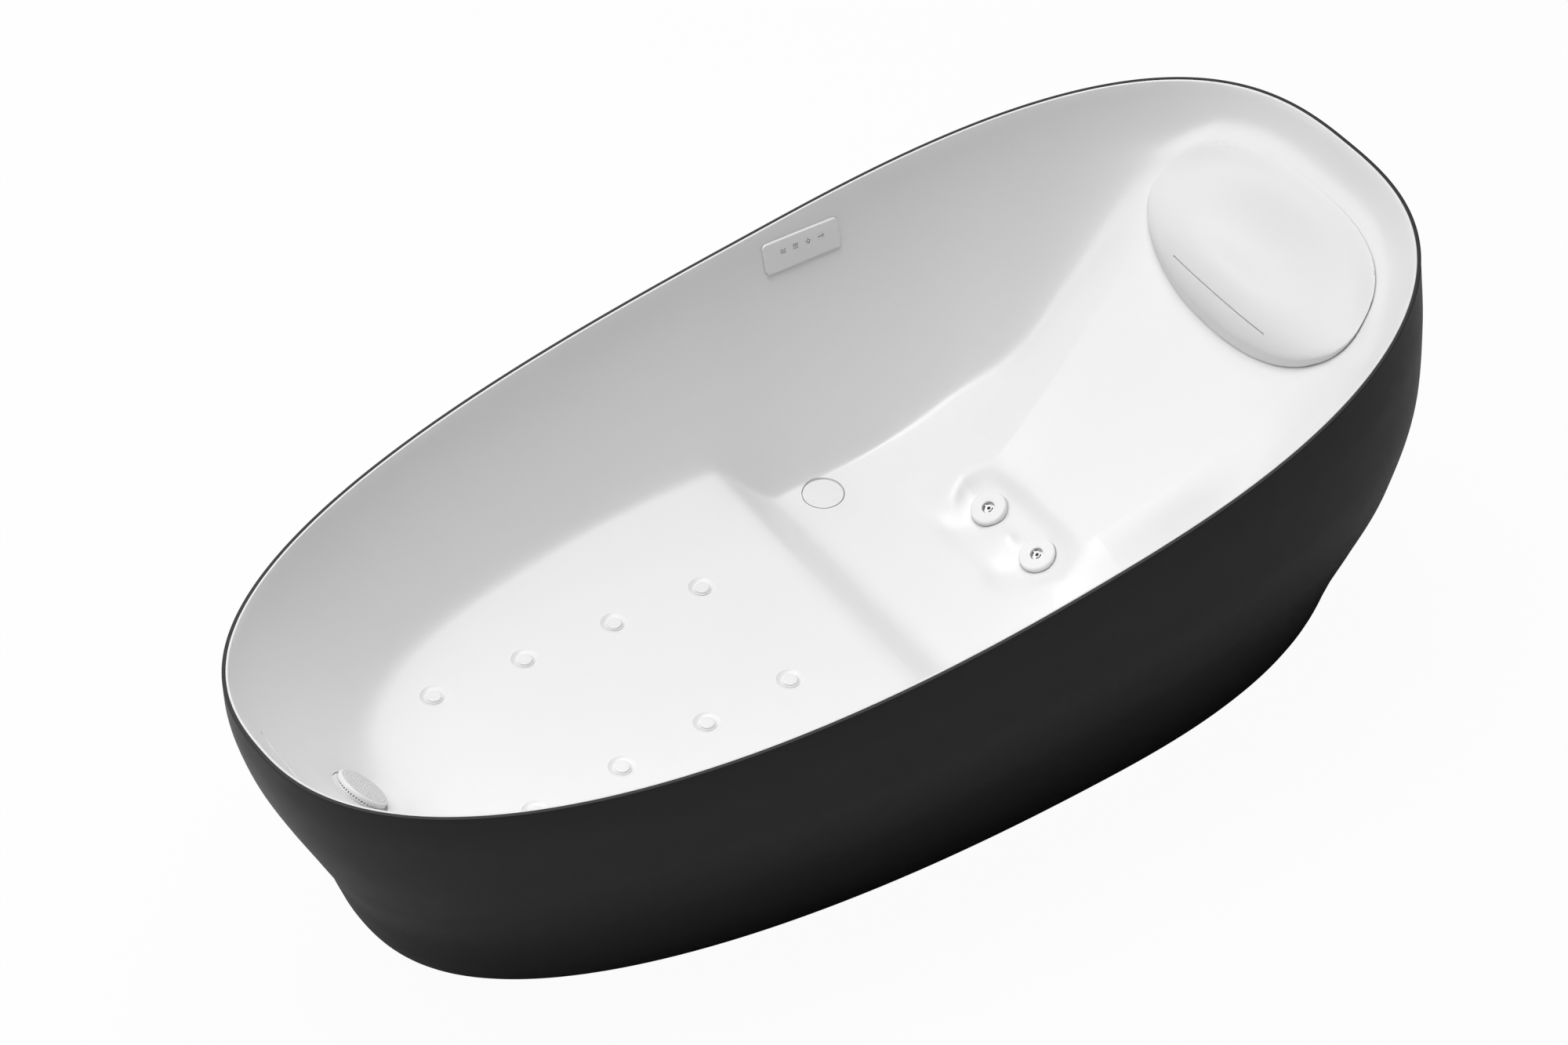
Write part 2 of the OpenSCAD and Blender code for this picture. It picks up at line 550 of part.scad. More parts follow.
module air_hose() {
    color("gray") pipe([[manifold_x, line_y, manifold_z - 24], [manifold_x, line_y, line_z],
        [valve_x - 5, line_y, line_z]], hose_od, air_od + 2 * gap);
}
module along_x(x) {
    translate([x, line_y, line_z]) rotate([0, 90, 0]) children();
}
pin_drop = 14;
module check_valve_body() {
    color("lightgray") difference() {
        along_x(valve_x) {
            disc(-28, 88, air_od);
            disc(0, 60, 50);
        }
        along_x(valve_x) {
            disc(-29, 2, air_bore);
            disc(2, 24, 40);
            disc(24, 29, 26);
            disc(29, 57, 40);
            disc(56, 89, air_bore);
        }
        translate([valve_x + 18.5, line_y - 17.5, line_z + pin_drop]) rotate([-90, 0, 0]) disc(0, 35, 4.1);
    }
}
module check_valve_pin() {
    color("silver") translate([valve_x + 18.5, line_y - 17, line_z + pin_drop]) rotate([-90, 0, 0]) disc(0, 34, 4);
}
module check_valve_flap() {
    color("dimgray") difference() {
        union() {
            along_x(valve_x) disc(21, 23.5, 31);
            translate([valve_x + 18.5, line_y - 5, line_z + pin_drop]) rotate([-90, 0, 0]) disc(0, 10, 7.6);
            box([valve_x + 18.5, line_y - 5, line_z + pin_drop - 3.6], [valve_x + 22, line_y + 5, line_z + pin_drop]);
        }
        translate([valve_x + 18.5, line_y - 6, line_z + pin_drop]) rotate([-90, 0, 0]) disc(0, 12, 4 + 2 * run);
    }
}

// Blower: a wheel on a lengthwise axis along Y
blower_x = head_x - 420;
blower_z = line_z + 40;
module blower_axis(y) {
    translate([blower_x, y, blower_z]) rotate([-90, 0, 0]) children();
}
module blower_housing() {
    color("darkgray") difference() {
        union() {
            blower_axis(line_y - 28) disc(0, 56, blower_od);
            rod([blower_x, line_y, line_z], [valve_x + 64, line_y, line_z], hose_od);
            box([blower_x - 75, line_y - 25, rail_z], [blower_x + 135, line_y + 25, rail_z + 6]);
            box([blower_x - 30, line_y - 20, rail_z + 5], [blower_x + 30, line_y + 20, blower_z - 50]);
        }
        blower_axis(line_y - 28) disc(4, 51, blower_od - 12);
        blower_axis(line_y - 28) disc(-1, 5, 44);
        blower_axis(line_y - 28) disc(50, 57, 20);
        rod([blower_x, line_y, line_z], [valve_x + 84, line_y, line_z], air_bore);
        rod([valve_x + 92, line_y, line_z], [valve_x + 63, line_y, line_z], air_od + 2 * gap);
    }
}
module blower_impeller() {
    color("gainsboro") blower_axis(line_y - 28) difference() {
        union() {
            disc(14, 48, 20);
            disc(45, 48, blower_od - 24);
            for (a = [0 : 30 : 330]) rotate([0, 0, a]) box([26, -1, 14], [blower_od / 2 - 12, 1, 46]);
        }
        disc(13, 49, 8 + 2 * run);
    }
}
module blower_shaft() {
    color("silver") blower_axis(line_y - 28) disc(16, 110, 8);
}
module blower_motor() {
    color("dimgray") blower_axis(line_y - 28) difference() {
        union() {
            disc(50.5, 60, 19.4);
            disc(56.3, 136, 84);
            disc(136, 140, 60);
        }
        disc(50, 112, 8 + 2 * run);
        for (a = [0 : 45 : 315]) rotate([0, 0, a]) box([39, -2, 70], [43, 2, 128]);
    }
}

// Lumbar jets
module lumbar_bodies() {
    color("gainsboro") for (s = SIDES) at_surface(lumbar_at(s)) difference() {
        union() {
            disc(-0.3, 3.5, lumbar_flange - 1);
            disc(-62, 0, lumbar_shank);
            disc(-88, -61, water_od);
        }
        disc(-24, 4, 36);
        disc(-58, -28, 36);
        disc(-89, -57, water_bore - 2);
        disc(-29, -23, 10 + 2 * run);
        for (a = [30 : 60 : 330]) rotate([0, 0, a]) translate([11.5, 0, 0]) disc(-29, -23, 7);
    }
}
module lumbar_nuts() {
    color("white") for (s = SIDES) at_surface(lumbar_at(s))
        hex_nut(-boss_low - 12, -boss_low - gap, 58, lumbar_shank + 2 * gap);
}
module lumbar_face(s) {
    color("white") at_surface(lumbar_at(s)) difference() {
        union() {
            disc(-12, 4, 36 - 2 * run);
            disc(3.8, 12, lumbar_flange);
            translate([0, 0, 12]) cylinder(h = 1.8, d1 = lumbar_flange, d2 = lumbar_flange - 5, $fn = 64);
        }
        disc(-13, 4.2, 31);
        disc(4, 14, 22.1);
    }
}
module lumbar_nozzle(s) {
    color("silver") at_surface(lumbar_at(s)) difference() {
        union() {
            disc(-32, -14, 10);
            disc(-14, 9.5, 22);
            disc(-14, 3.5, 30);
        }
        disc(-33, 13, 5);
        translate([0, 0, 4]) ring(-3, 9, 19, 13);
        for (a = [0, 120, 240]) rotate([0, 0, a]) translate([11.5, 0, 0]) disc(-15, 1.5, 4);
    }
}
module lumbar_face_left() {
    lumbar_face(1);
}
module lumbar_face_right() {
    lumbar_face(-1);
}
module lumbar_nozzle_left() {
    lumbar_nozzle(1);
}
module lumbar_nozzle_right() {
    lumbar_nozzle(-1);
}
jet_port = below(lumbar_at(1), 112);
module water_lines(d, longer) {
    run_of([[tee_x - 21 + longer, 0, water_z], [tee_x - 70, 0, water_z], [jet_port.x, 0, jet_port.z]], d);
    rod(below(lumbar_at(-1), 112), jet_port, d);
    for (s = SIDES) translate(below(lumbar_at(s), 112)) sphere(d = d + knuckle, $fn = 48);
}
tee_x = head_x - 475;
module jet_water_pipe() {
    color("lightgray") difference() {
        union() {
            water_lines(water_od, 0);
            for (s = SIDES) rod(below(lumbar_at(s), 112), below(lumbar_at(s), 68), water_od + 8);
        }
        water_lines(water_bore, 1);
        for (s = SIDES) rod(below(lumbar_at(s), 112), below(lumbar_at(s), 80), water_bore - 1);
        for (s = SIDES) rod(below(lumbar_at(s), 89), below(lumbar_at(s), 67), water_od + 2 * gap);
    }
}
module outlet_tee() {
    arm = 42;
    socket = 22;
    color("lightgray") difference() {
        union() {
            rod([tee_x - arm, 0, water_z], [tee_x + arm, 0, water_z], water_od + 8);
            rod([tee_x, 0, water_z], [tee_x, -line_y + 62, water_z], water_od + 8);
        }
        rod([tee_x - arm - 1, 0, water_z], [tee_x + arm + 1, 0, water_z], water_bore);
        rod([tee_x, 0, water_z], [tee_x, -line_y + 61, water_z], water_bore);
        for (s = SIDES) rod([tee_x + s * (arm - socket), 0, water_z], [tee_x + s * (arm + 1), 0, water_z], water_od + 2 * gap);
        rod([tee_x, -line_y + 62 + socket, water_z], [tee_x, -line_y + 61, water_z], water_od + 2 * gap);
    }
}
module waterfall_pipe() {
    color("lightgray") difference() {
        union() {
            run_of([[tee_x + 21, 0, water_z], [spout_x, 0, water_z], [spout_x, 0, spout_low - 30]], water_od);
            translate([spout_x, 0, 0]) disc(spout_low - 60, spout_low + 24, water_od + 8);
        }
        run_of([[tee_x + 20, 0, water_z], [spout_x, 0, water_z], [spout_x, 0, spout_low]], water_bore - 4);
        translate([spout_x, 0, 0]) disc(spout_low - 14, spout_low + 25, 22 + 2 * gap);
    }
}

// Suction fitting
module suction_body() {
    color("gainsboro") at_surface(suction_at) difference() {
        union() {
            disc(-1.7, 2.3, suction_flange);
            disc(-60, -1.7, suction_shank);
        }
        disc(-34, 3, 48);
        disc(-61, -33, suction_bore);
        disc(-61, -40, suction_od + 2 * gap);
    }
}
module suction_gasket() {
    color("dimgray") at_surface(suction_at) ring(-boss_low - 2, -boss_low - gap, 84, suction_shank + 2 * gap);
}
module suction_nut() {
    color("white") at_surface(suction_at) hex_nut(-boss_low - 14, -boss_low - 2.3, 78, suction_shank + 2 * gap);
}
module suction_cover() {
    color("white") at_surface(suction_at) difference() {
        union() {
            disc(-14, 3, 48 - 2 * run);
            disc(2.6, 15, suction_cover_d);
            translate([0, 0, 15]) cylinder(h = 2, d1 = suction_cover_d, d2 = suction_cover_d - 6, $fn = 64);
            translate([0, 0, 17]) cylinder(h = 2, d1 = suction_cover_d - 6, d2 = suction_cover_d - 56, $fn = 64);
        }
        disc(-15, 4, 42);
        disc(4, 14, suction_cover_d - 8);
        disc(3.9, 5, 43);
        for (a = [0 : 10 : 350]) rotate([0, 0, a]) box([suction_cover_d / 2 - 8, -1.5, 6.4], [suction_cover_d / 2 + 1, 1.5, 9.4]);
        for (a = [0 : 20 : 340]) rotate([0, 0, a]) translate([34, 0, 0]) disc(13, 20, 3);
        for (a = [0 : 45 : 315]) rotate([0, 0, a]) translate([17, 0, 0]) disc(13, 20, 3);
    }
}
module suction_pipe() {
    color("lightgray") pipe([below(suction_at, 41), below(suction_at, 90), [foot_x + 250, -70, 200],
        [foot_x + 340, -line_y, line_z], [pump_x - 4, -line_y, line_z]], suction_od, suction_bore);
}

// Pump
pump_x = head_x - 500;
module pump_axis() {
    translate([pump_x, -line_y, line_z]) rotate([0, 90, 0]) children();
}
module pump_volute() {
    color("dimgray") difference() {
        union() {
            pump_axis() disc(0, 50, pump_od);
            pump_axis() disc(-30, 0, suction_od + 10);
            rod([tee_x, -line_y + 20, water_z], [tee_x, -line_y + 82, water_z], water_od);
        }
        pump_axis() disc(6, 44, pump_od - 20);
        pump_axis() disc(43, 51, pump_od - 14);
        pump_axis() disc(-31, 7, suction_bore);
        pump_axis() disc(-31, -3, suction_od + 2 * gap);
        rod([tee_x, -line_y + 20, water_z], [tee_x, -line_y + 83, water_z], water_bore);
    }
}
module pump_backplate() {
    color("gray") pump_axis() difference() {
        union() {
            disc(44.3, 50, pump_od - 14.6);
            disc(50.3, 56, pump_od);
            disc(50, 50.4, pump_od - 14.6);
        }
        disc(44, 57, 10 + 2 * run);
    }
}
module pump_impeller() {
    color("gainsboro") pump_axis() difference() {
        union() {
            disc(14, 42, 20);
            disc(38, 42, pump_od - 32);
            for (a = [0 : 60 : 300]) rotate([0, 0, a]) box([9, -1.5, 14], [pump_od / 2 - 16, 1.5, 39]);
        }
        disc(13, 43, 10 + 2 * run);
    }
}
module pump_shaft() {
    color("silver") pump_axis() disc(16, 120, 10);
}
module pump_motor() {
    color("dimgray") pump_axis() difference() {
        union() {
            disc(56.3, 66, 70);
            disc(66, 222, 102);
            disc(222, 230, 88);
        }
        disc(56, 122, 10 + 2 * run);
        for (a = [0 : 20 : 340]) rotate([0, 0, a]) box([48, -1.5, 80], [52, 1.5, 210]);
    }
}
module pump_base() {
    color("black") difference() {
        union() {
            box([pump_x, -line_y - 44, rail_z], [pump_x + 225, -line_y + 44, line_z - pump_od / 2 - gap]);
            box([pump_x + 95, -line_y - 34, rail_z], [pump_x + 190, -line_y + 34, line_z - 34]);
        }
        pump_axis() disc(60, 232, 102 + 2 * gap);
    }
}

// Drain and overflow
module at_drain() {
    translate([drain_x, drain_y, drain_z]) children();
}
module drain_body() {
    color("silver") at_drain() difference() {
        union() {
            disc(-drain_seat + gap, -drain_seat + 2.3, drain_cover_d - 3);
            disc(-50, -drain_seat + gap, drain_shank);
        }
        disc(-24, 0, 38);
        disc(-51, -28, 38);
        disc(-29, -23, 8 + 2 * run);
        for (a = [0 : 60 : 300]) rotate([0, 0, a]) translate([11.5, 0, 0]) disc(-29, -23, 9);
    }
}
module drain_nut() {
    color("white") at_drain() hex_nut(-boss_low - 12, -boss_low - gap, 60, drain_shank + 2 * gap);
}
module drain_cover() {
    color("white") at_drain() {
        disc(-4, 0, drain_cover_d);
        disc(-42, -4, 8);
    }
}
module drain_seal() {
    color("dimgray") at_drain() ring(-5.6, -4.1, 62, 50);
}
waste_z = 75;
function waste_path() = [[drain_x, drain_y, drain_z - 62], [drain_x, drain_y, waste_z],
    [drain_x + 130, drain_y - 15, waste_z], [drain_x + 130, drain_y - 15, 1]];
module drain_pipe() {
    color("lightgray") difference() {
        union() {
            run_of(waste_path(), 44);
            at_drain() disc(-64, -36, drain_shank + 10);
            rod([drain_x, drain_y, 112], [drain_x - 62, drain_y, 112], 20);
        }
        run_of(waste_path(), 38, 1);
        at_drain() disc(-52, -35, drain_shank + 2 * gap);
        rod([drain_x, drain_y, 112], [drain_x - 63, drain_y, 112], 14);
    }
}
module overflow_box() {
    half = overflow_l / 2 + 5;
    color("white") at_surface(overflow_at) difference() {
        union() {
            box([-8, -half, -27], [16, half, -14 - gap]);
            translate([10, 48, -20.5]) rotate([0, 90, 0]) disc(0, 34, 12);
        }
        box([-6, -half + 2, -25], [14, half - 2, -14]);
        translate([10, 48, -20.5]) rotate([0, 90, 0]) disc(-1, 35, 8);
    }
}
function overflow_local(x, y, z) =
    let (n = normal_at(overflow_x, 0)) on_basin(overflow_at) + x * [n.z, 0, -n.x] + [0, y, 0] + z * n;
module overflow_hose() {
    color("gray") pipe([overflow_local(22, 48, -20.5), overflow_local(120, 60, -24), [foot_x + 330, 225, 190],
        [foot_x + 430, 240, 120], [drain_x - 130, drain_y, 112], [drain_x - 42, drain_y, 112]], 25, 20 + 2 * gap);
}

// Control panel
module panel_plate() {
    color("white") at_surface(panel_at) difference() {
        rounded(panel_h, panel_l, 7, -1.7, panel_out);
        rounded(panel_h - 14, panel_l - 14, 3, -2, panel_out - 3);
        for (i = [-1.5 : 1 : 1.5]) translate([-6, i * 26, 0]) rounded(key_w + 0.6, key_w + 0.6, 2, 0, panel_out + 1);
    }
}
module panel_keys() {
    color("lightgray") at_surface(panel_at) {
        for (i = [-1.5 : 1 : 1.5]) translate([-6, i * 26, 0]) rounded(key_w, key_w, 1.7, panel_out - 4, panel_out);
        translate([-6, 0, 0]) rounded(key_w + 8, 100, 2, panel_out - 5.4, panel_out - 3.6);
    }
}
module panel_board() {
    color("green") at_surface(panel_at) box([-20, -68, -1.5], [20, 68, 2]);
}
control_x = foot_x + 680;
module control_box() {
    color("gray") difference() {
        union() {
            box([control_x - 100, -65, rail_z], [control_x + 100, 65, rail_z + 92]);
            for (y = [-30, 0, 30]) rod([control_x + 99, y, rail_z + 45], [control_x + 112, y, rail_z + 45], 16);
        }
        box([control_x - 97, -62, rail_z + 3], [control_x + 97, 62, rail_z + 93]);
        for (y = [-30, 0, 30]) rod([control_x + 90, y, rail_z + 45], [control_x + 113, y, rail_z + 45], 8);
    }
    color("gray") for (i = SIDES) for (j = SIDES) translate([control_x + i * 90, j * 55, 0]) difference() {
        disc(rail_z + 2, rail_z + 92, 12);
        disc(rail_z + 60, rail_z + 93, 4.6);
    }
}
module control_lid() {
    color("dimgray") difference() {
        translate([control_x, 0, 0]) rounded(206, 136, 6, rail_z + 92, rail_z + 97);
        for (i = SIDES) for (j = SIDES) translate([control_x + i * 90, j * 55, 0]) disc(rail_z + 91, rail_z + 98, 4.6);
    }
}
module lid_screws() {
    color("silver") for (i = SIDES) for (j = SIDES) translate([control_x + i * 90, j * 55, 0]) {
        disc(rail_z + 66, rail_z + 98, 4);
        disc(rail_z + 97, rail_z + 100, 8);
    }
}
// A cord swept along a smooth curve through its route
function bend(a, b, c, d, t) =
    0.5 * (2 * b + (c - a) * t + (2 * a - 5 * b + 4 * c - d) * t * t + (3 * b - a - 3 * c + d) * t * t * t);
function curve(route, steps) =
    let (last = len(route) - 1)
    concat([for (i = [0 : last - 1]) for (t = [0 : steps - 1])
        bend(route[max(0, i - 1)], route[i], route[i + 1], route[min(last, i + 2)], t / steps)], [route[last]]);
function unit(v) = v / norm(v);
function heading(line, i) = unit(line[min(len(line) - 1, i + 1)] - line[max(0, i - 1)]);
function side_of(v, h) = unit(v - h * (v * h));
function sides_along(line, first) =
    [for (i = 0, v = side_of(first, heading(line, 0)); i < len(line);
          i = i + 1, v = i < len(line) ? side_of(v, heading(line, i)) : v) v];
module cord(route, d, first) {
    line = curve(route, 5);
    sides = sides_along(line, first);
    count = 8;
    last = len(line) - 1;
    polyhedron(
        concat([for (i = [0 : last]) for (k = [0 : count - 1])
            line[i] + d / 2 * (cos(360 * k / count) * sides[i] + sin(360 * k / count) * cross(heading(line, i), sides[i]))],
            [line[0], line[last]]),
        concat([for (i = [0 : last - 1]) for (k = [0 : count - 1])
            let (a = i * count + k, b = i * count + (k + 1) % count) each [[a, b + count, b], [a, a + count, b + count]]],
            [for (k = [0 : count - 1]) [k, (k + 1) % count, (last + 1) * count]],
            [for (k = [0 : count - 1]) [last * count + (k + 1) % count, last * count + k, (last + 1) * count + 1]]));
}
cord_d = 5;
module wiring() {
    start = control_x + 99;
    tip = below(panel_at, 20);
    color("black") {
        cord([[start, -30, rail_z + 45], [control_x + 120, -30, rail_z + 45], [control_x + 135, -30, rail_z + 45], [control_x + 190, -48, rail_z + 9],
            [pump_x - 100, -48, rail_z + 9], [pump_x + 225, -48, rail_z + 12], [pump_x + 262, -90, 120],
            [pump_x + 255, -line_y, line_z], [pump_x + 230.5, -line_y, line_z]], cord_d, [0, 0, 1]);
        cord([[start, 30, rail_z + 45], [control_x + 120, 30, rail_z + 45], [control_x + 135, 30, rail_z + 45], [control_x + 190, 48, rail_z + 9],
            [blower_x - 180, 48, rail_z + 9], [blower_x + 145, 56, rail_z + 9], [blower_x + 155, 150, rail_z + 22],
            [blower_x + 120, 255, rail_z + 50], [blower_x + 5, line_y + 140, blower_z], [blower_x + 5, line_y + 113, blower_z]],
            cord_d, [0, 0, 1]);
        cord([[start, 0, rail_z + 45], [control_x + 120, 0, rail_z + 45], [control_x + 140, 0, rail_z + 45], [control_x + 215, 60, 192],
            [control_x + 225, 250, 192], [step_x + 75, tub_w / 2 - 120, 250], [panel_x - 20, tub_w / 2 - 77, 400],
            [tip.x - 6, tip.y - 2, tip.z - 60], tip, below(panel_at, 12), below(panel_at, 2)], cord_d, [0, 0, 1]);
    }
}

// Frame
module square_tube(low, high, axis) {
    difference() {
        box(low, high);
        if (axis == 0) box(low + [-1, 3, 3], high + [1, -3, -3]);
        if (axis == 1) box(low + [3, -1, 3], high + [-3, 1, -3]);
    }
}
module base_frame() {
    color("dimgray") difference() {
        union() {
            for (s = SIDES)
                square_tube([RAILS[0], s * rail_y - tube / 2, frame_z], [RAILS[1], s * rail_y + tube / 2, rail_z], 0);
            for (x = CROSS)
                square_tube([x - tube / 2, -rail_y + tube / 2, frame_z], [x + tube / 2, rail_y - tube / 2, rail_z], 1);
        }
        for (x = FEET) for (s = SIDES) translate([x, s * rail_y, 0]) disc(frame_z - 1, rail_z + 1, stud_d + 2 * gap);
    }
}
stud_d = 16;
module foot_pads() {
    color("black") for (x = FEET) for (s = SIDES) translate([x, s * rail_y, 0]) difference() {
        union() {
            disc(0, 6, 70);
            disc(6, 16, 34);
        }
        disc(4, 17, stud_d + 2 * gap);
    }
}
module foot_studs() {
    color("silver") for (x = FEET) for (s = SIDES) translate([x, s * rail_y, 0]) disc(4.3, rail_z + 20, stud_d);
}
module foot_nuts() {
    color("silver") for (x = FEET) for (s = SIDES) translate([x, s * rail_y, 0]) {
        hex_nut(frame_z - 12, frame_z - gap, 24, stud_d + 2 * gap);
        hex_nut(rail_z + gap, rail_z + 12, 24, stud_d + 2 * gap);
    }
}
module support_legs() {
    color("dimgray") for (x = LEGS) for (s = SIDES) {
        knee = below([x, s * rail_y], 44);
        rod([knee.x, knee.y, rail_z], knee, 30);
        translate(knee) sphere(d = 30, $fn = 48);
        rod(knee, below([x, s * rail_y], 26), 46);
        box([knee.x - 30, s * rail_y - tube / 2, rail_z], [knee.x + 30, s * rail_y + tube / 2, rail_z + 5]);
    }
}
module leg_pads() {
    color("black") difference() {
        for (x = LEGS) for (s = SIDES) at_surface([x, s * rail_y]) disc(-26 + gap, -6, 46);
        translate([0, 0, -gap]) basin_block();
    }
}

outer_skirt();
basin();
headrest_pillow();
waterfall_spout();
pillow_pegs();
pillow_sleeves();
air_jet_bodies();
air_jet_caps();
air_jet_gaskets();
air_jet_nuts();
air_manifold();
air_hose();
check_valve_body();
check_valve_pin();
check_valve_flap();
blower_housing();
blower_impeller();
blower_shaft();
blower_motor();
lumbar_bodies();
lumbar_nuts();
lumbar_face_left();
lumbar_face_right();
lumbar_nozzle_left();
lumbar_nozzle_right();
jet_water_pipe();
outlet_tee();
waterfall_pipe();
suction_body();
suction_gasket();
suction_nut();
suction_cover();
suction_pipe();
pump_volute();
pump_backplate();
pump_impeller();
pump_shaft();
pump_motor();
pump_base();
drain_body();
drain_nut();
drain_cover();
drain_seal();
drain_pipe();
overflow_box();
overflow_hose();
panel_plate();
panel_keys();
panel_board();
control_box();
control_lid();
lid_screws();
wiring();
base_frame();
foot_pads();
foot_studs();
foot_nuts();
support_legs();
leg_pads();
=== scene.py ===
import json
import math

import bmesh
import bpy
import numpy as np
from mathutils import Matrix, Vector
from mathutils.bvhtree import BVHTree


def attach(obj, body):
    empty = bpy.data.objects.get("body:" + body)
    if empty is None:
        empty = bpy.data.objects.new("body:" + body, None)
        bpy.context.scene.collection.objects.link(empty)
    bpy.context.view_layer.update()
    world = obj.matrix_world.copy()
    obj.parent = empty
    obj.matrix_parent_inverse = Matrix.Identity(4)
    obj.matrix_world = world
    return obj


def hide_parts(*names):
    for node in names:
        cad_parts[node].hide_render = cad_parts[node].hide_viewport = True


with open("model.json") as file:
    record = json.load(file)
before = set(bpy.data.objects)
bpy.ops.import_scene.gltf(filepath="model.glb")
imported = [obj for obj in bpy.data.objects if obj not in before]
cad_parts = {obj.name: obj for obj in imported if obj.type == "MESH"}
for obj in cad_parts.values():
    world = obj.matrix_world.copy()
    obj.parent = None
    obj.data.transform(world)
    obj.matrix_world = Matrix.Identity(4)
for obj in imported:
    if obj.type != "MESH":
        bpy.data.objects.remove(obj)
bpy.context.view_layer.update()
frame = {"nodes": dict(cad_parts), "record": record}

nodes = frame["nodes"]
scene = bpy.context.scene
scene.view_settings.view_transform = "Standard"


# Camera, taken from the rim and base of the tub in the photograph
camera = {
    "place": (-3.267334, -4.606252, 5.955266),
    "right": (0.82302, -0.56801, 0.0),
    "up": (0.39571, 0.57336, 0.71741),
    "lens": 107.47, "sensor": 36.0, "farthest": 60.0,
}


def placed(name, data):
    thing = bpy.data.objects.new(name, data)
    scene.collection.objects.link(thing)
    return thing


def makeCamera():
    data = bpy.data.cameras.new("camera")
    data.lens = camera["lens"]
    data.sensor_width = camera["sensor"]
    data.clip_end = camera["farthest"]
    eye = placed("camera", data)
    right = Vector(camera["right"]).normalized()
    up = Vector(camera["up"])
    up = (up - right * up.dot(right)).normalized()
    back = right.cross(up)
    turned = Matrix((right, up, back)).transposed().to_4x4()
    eye.matrix_world = Matrix.Translation(camera["place"]) @ turned
    scene.camera = eye


makeCamera()
print("camera")


# Sizes of the tub in millimetres, the same as its solids have
tub = {
    "length": 2200.0, "width": 1050.0, "headHeight": 785.0, "footHeight": 588.0,
    "lowFromFoot": 150.0, "widestFromHead": 912.0, "skirtWall": 6.0, "floorGap": 1.5,
    "footInset": 215.0, "headInset": 120.0, "sideInset": 125.0,
    "basinWall": 10.0, "lip": 3.7, "lipDepth": 22.0, "joint": 0.3,
    "seatHeight": 190.0, "stepHeight": 107.0, "stepFromFoot": 1115.4, "stepRun": 98.0,
    "plateauSlope": 0.0366, "backFromHead": 625.0, "backHeight": 85.0, "backSlope": 0.45,
    "backDish": 28.0, "lumbarFromHead": 698.0, "lumbarGap": 142.0,
    "suctionFromFoot": 176.0, "footPower": 2.36, "headPower": 2.63,
}
headX = tub["length"] / 2
footX = -headX
wideX = headX - tub["widestFromHead"]
rimHalfWidth = tub["width"] / 2 - 5
rimInset = tub["skirtWall"] + tub["joint"] + tub["lip"]
stepX = footX + tub["stepFromFoot"]
backX = headX - tub["backFromHead"]
lumbarX = headX - tub["lumbarFromHead"]
lumbarY = tub["lumbarGap"] / 2
suctionX = footX + tub["suctionFromFoot"]


def ramp(x, k):
    return k * np.logaddexp(0, np.asarray(x, float) / k)


def softMax(a, b, k):
    return b + ramp(a - b, k)


def softMin(a, b, k):
    return -softMax(-a, -b, k)


def ease(t):
    t = np.clip(t, 0, 1)
    return t * t * (3 - 2 * t)


def rimHeight(x):
    rise = tub["headHeight"] - tub["footHeight"]
    share = (x - footX - tub["lowFromFoot"]) / (tub["length"] - tub["lowFromFoot"])
    return tub["footHeight"] + rise * share ** 2


def halfLength(x):
    return np.where(x > wideX, headX - wideX, wideX - footX)


def powerAt(x):
    return np.where(x > wideX, tub["headPower"], tub["footPower"])


def rimHalf(x, inset):
    n = powerAt(x)
    u = np.clip(np.abs(x - wideX) / (halfLength(x) - inset), 0, 1)
    return (rimHalfWidth - inset) * (1 - u ** n) ** (1 / n)


def reach(x, y):
    n = powerAt(x)
    along = np.abs(x - wideX) / (halfLength(x) - rimInset)
    across = np.abs(y) / (rimHalfWidth - rimInset)
    return (along ** n + across ** n) ** (1 / n)


# Slopes, heights and rounds of the basin. The numbers left in the formulas say where a change starts and
# how far it runs, as in the solids
form = {
    "wallSteep": 1060.0, "footSteep": 170.0, "seatSteep": 120.0, "lipDrop": 50.0, "lipRun": 0.05,
    "seatLift": 5.0, "channelSlope": 0.46, "channelRise": 0.5, "channelLift": 26.0,
    "backHalf": 135.0, "backWiden": 0.26, "backCurl": 0.0005, "backReach": 219.0,
    "backSide": 114.0, "backSidePower": 0.7, "backSoft": 8.0,
    "nicheLength": 90.0, "nicheHalf": 143.0, "nicheLift": 11.0, "nicheSlope": 0.42, "nicheRidge": 0.45,
    "nicheSide": 0.3, "nicheWall": 130.0, "nicheFront": 0.5, "stepSoft": 0.09,
    "round": 6.0, "footRound": 9.0, "backRound": 6.0, "headRound": 28.0, "roundRun": 0.09,
    "recessDepth": 14.0, "recessRadius": 66.0, "recessShape": 0.8,
}


def wallHeight(x, y):
    t = np.maximum(0, 1 - reach(x, y))
    steep = (form["wallSteep"] + form["footSteep"] * ease((stepX - x - 400) / 500)
             + form["seatSteep"] * ease((x - stepX) / 150) * (1 - ease((x - backX) / 200)))
    return rimHeight(x) - steep * t - form["lipDrop"] * (1 - np.exp(-t / form["lipRun"]))


def channelHeight(x):
    lift = form["channelLift"] * ease((x - backX - 90) / 170) * (1 - ease((x - backX - 400) / 100))
    return (tub["seatHeight"] + form["seatLift"] + form["channelSlope"] * ramp(x - backX + 115, 60)
            + form["channelRise"] * ramp(x - backX - 225, 50) + lift)


def backHalf(x):
    return form["backHalf"] + form["backWiden"] * np.clip(x - backX, 0, 400)


def backHeight(x, y):
    d = x - backX
    return (tub["seatHeight"] + tub["backHeight"] + tub["backSlope"] * d + form["backCurl"] * d * np.abs(d)
            + tub["backDish"] * (y / form["backReach"]) ** 2)


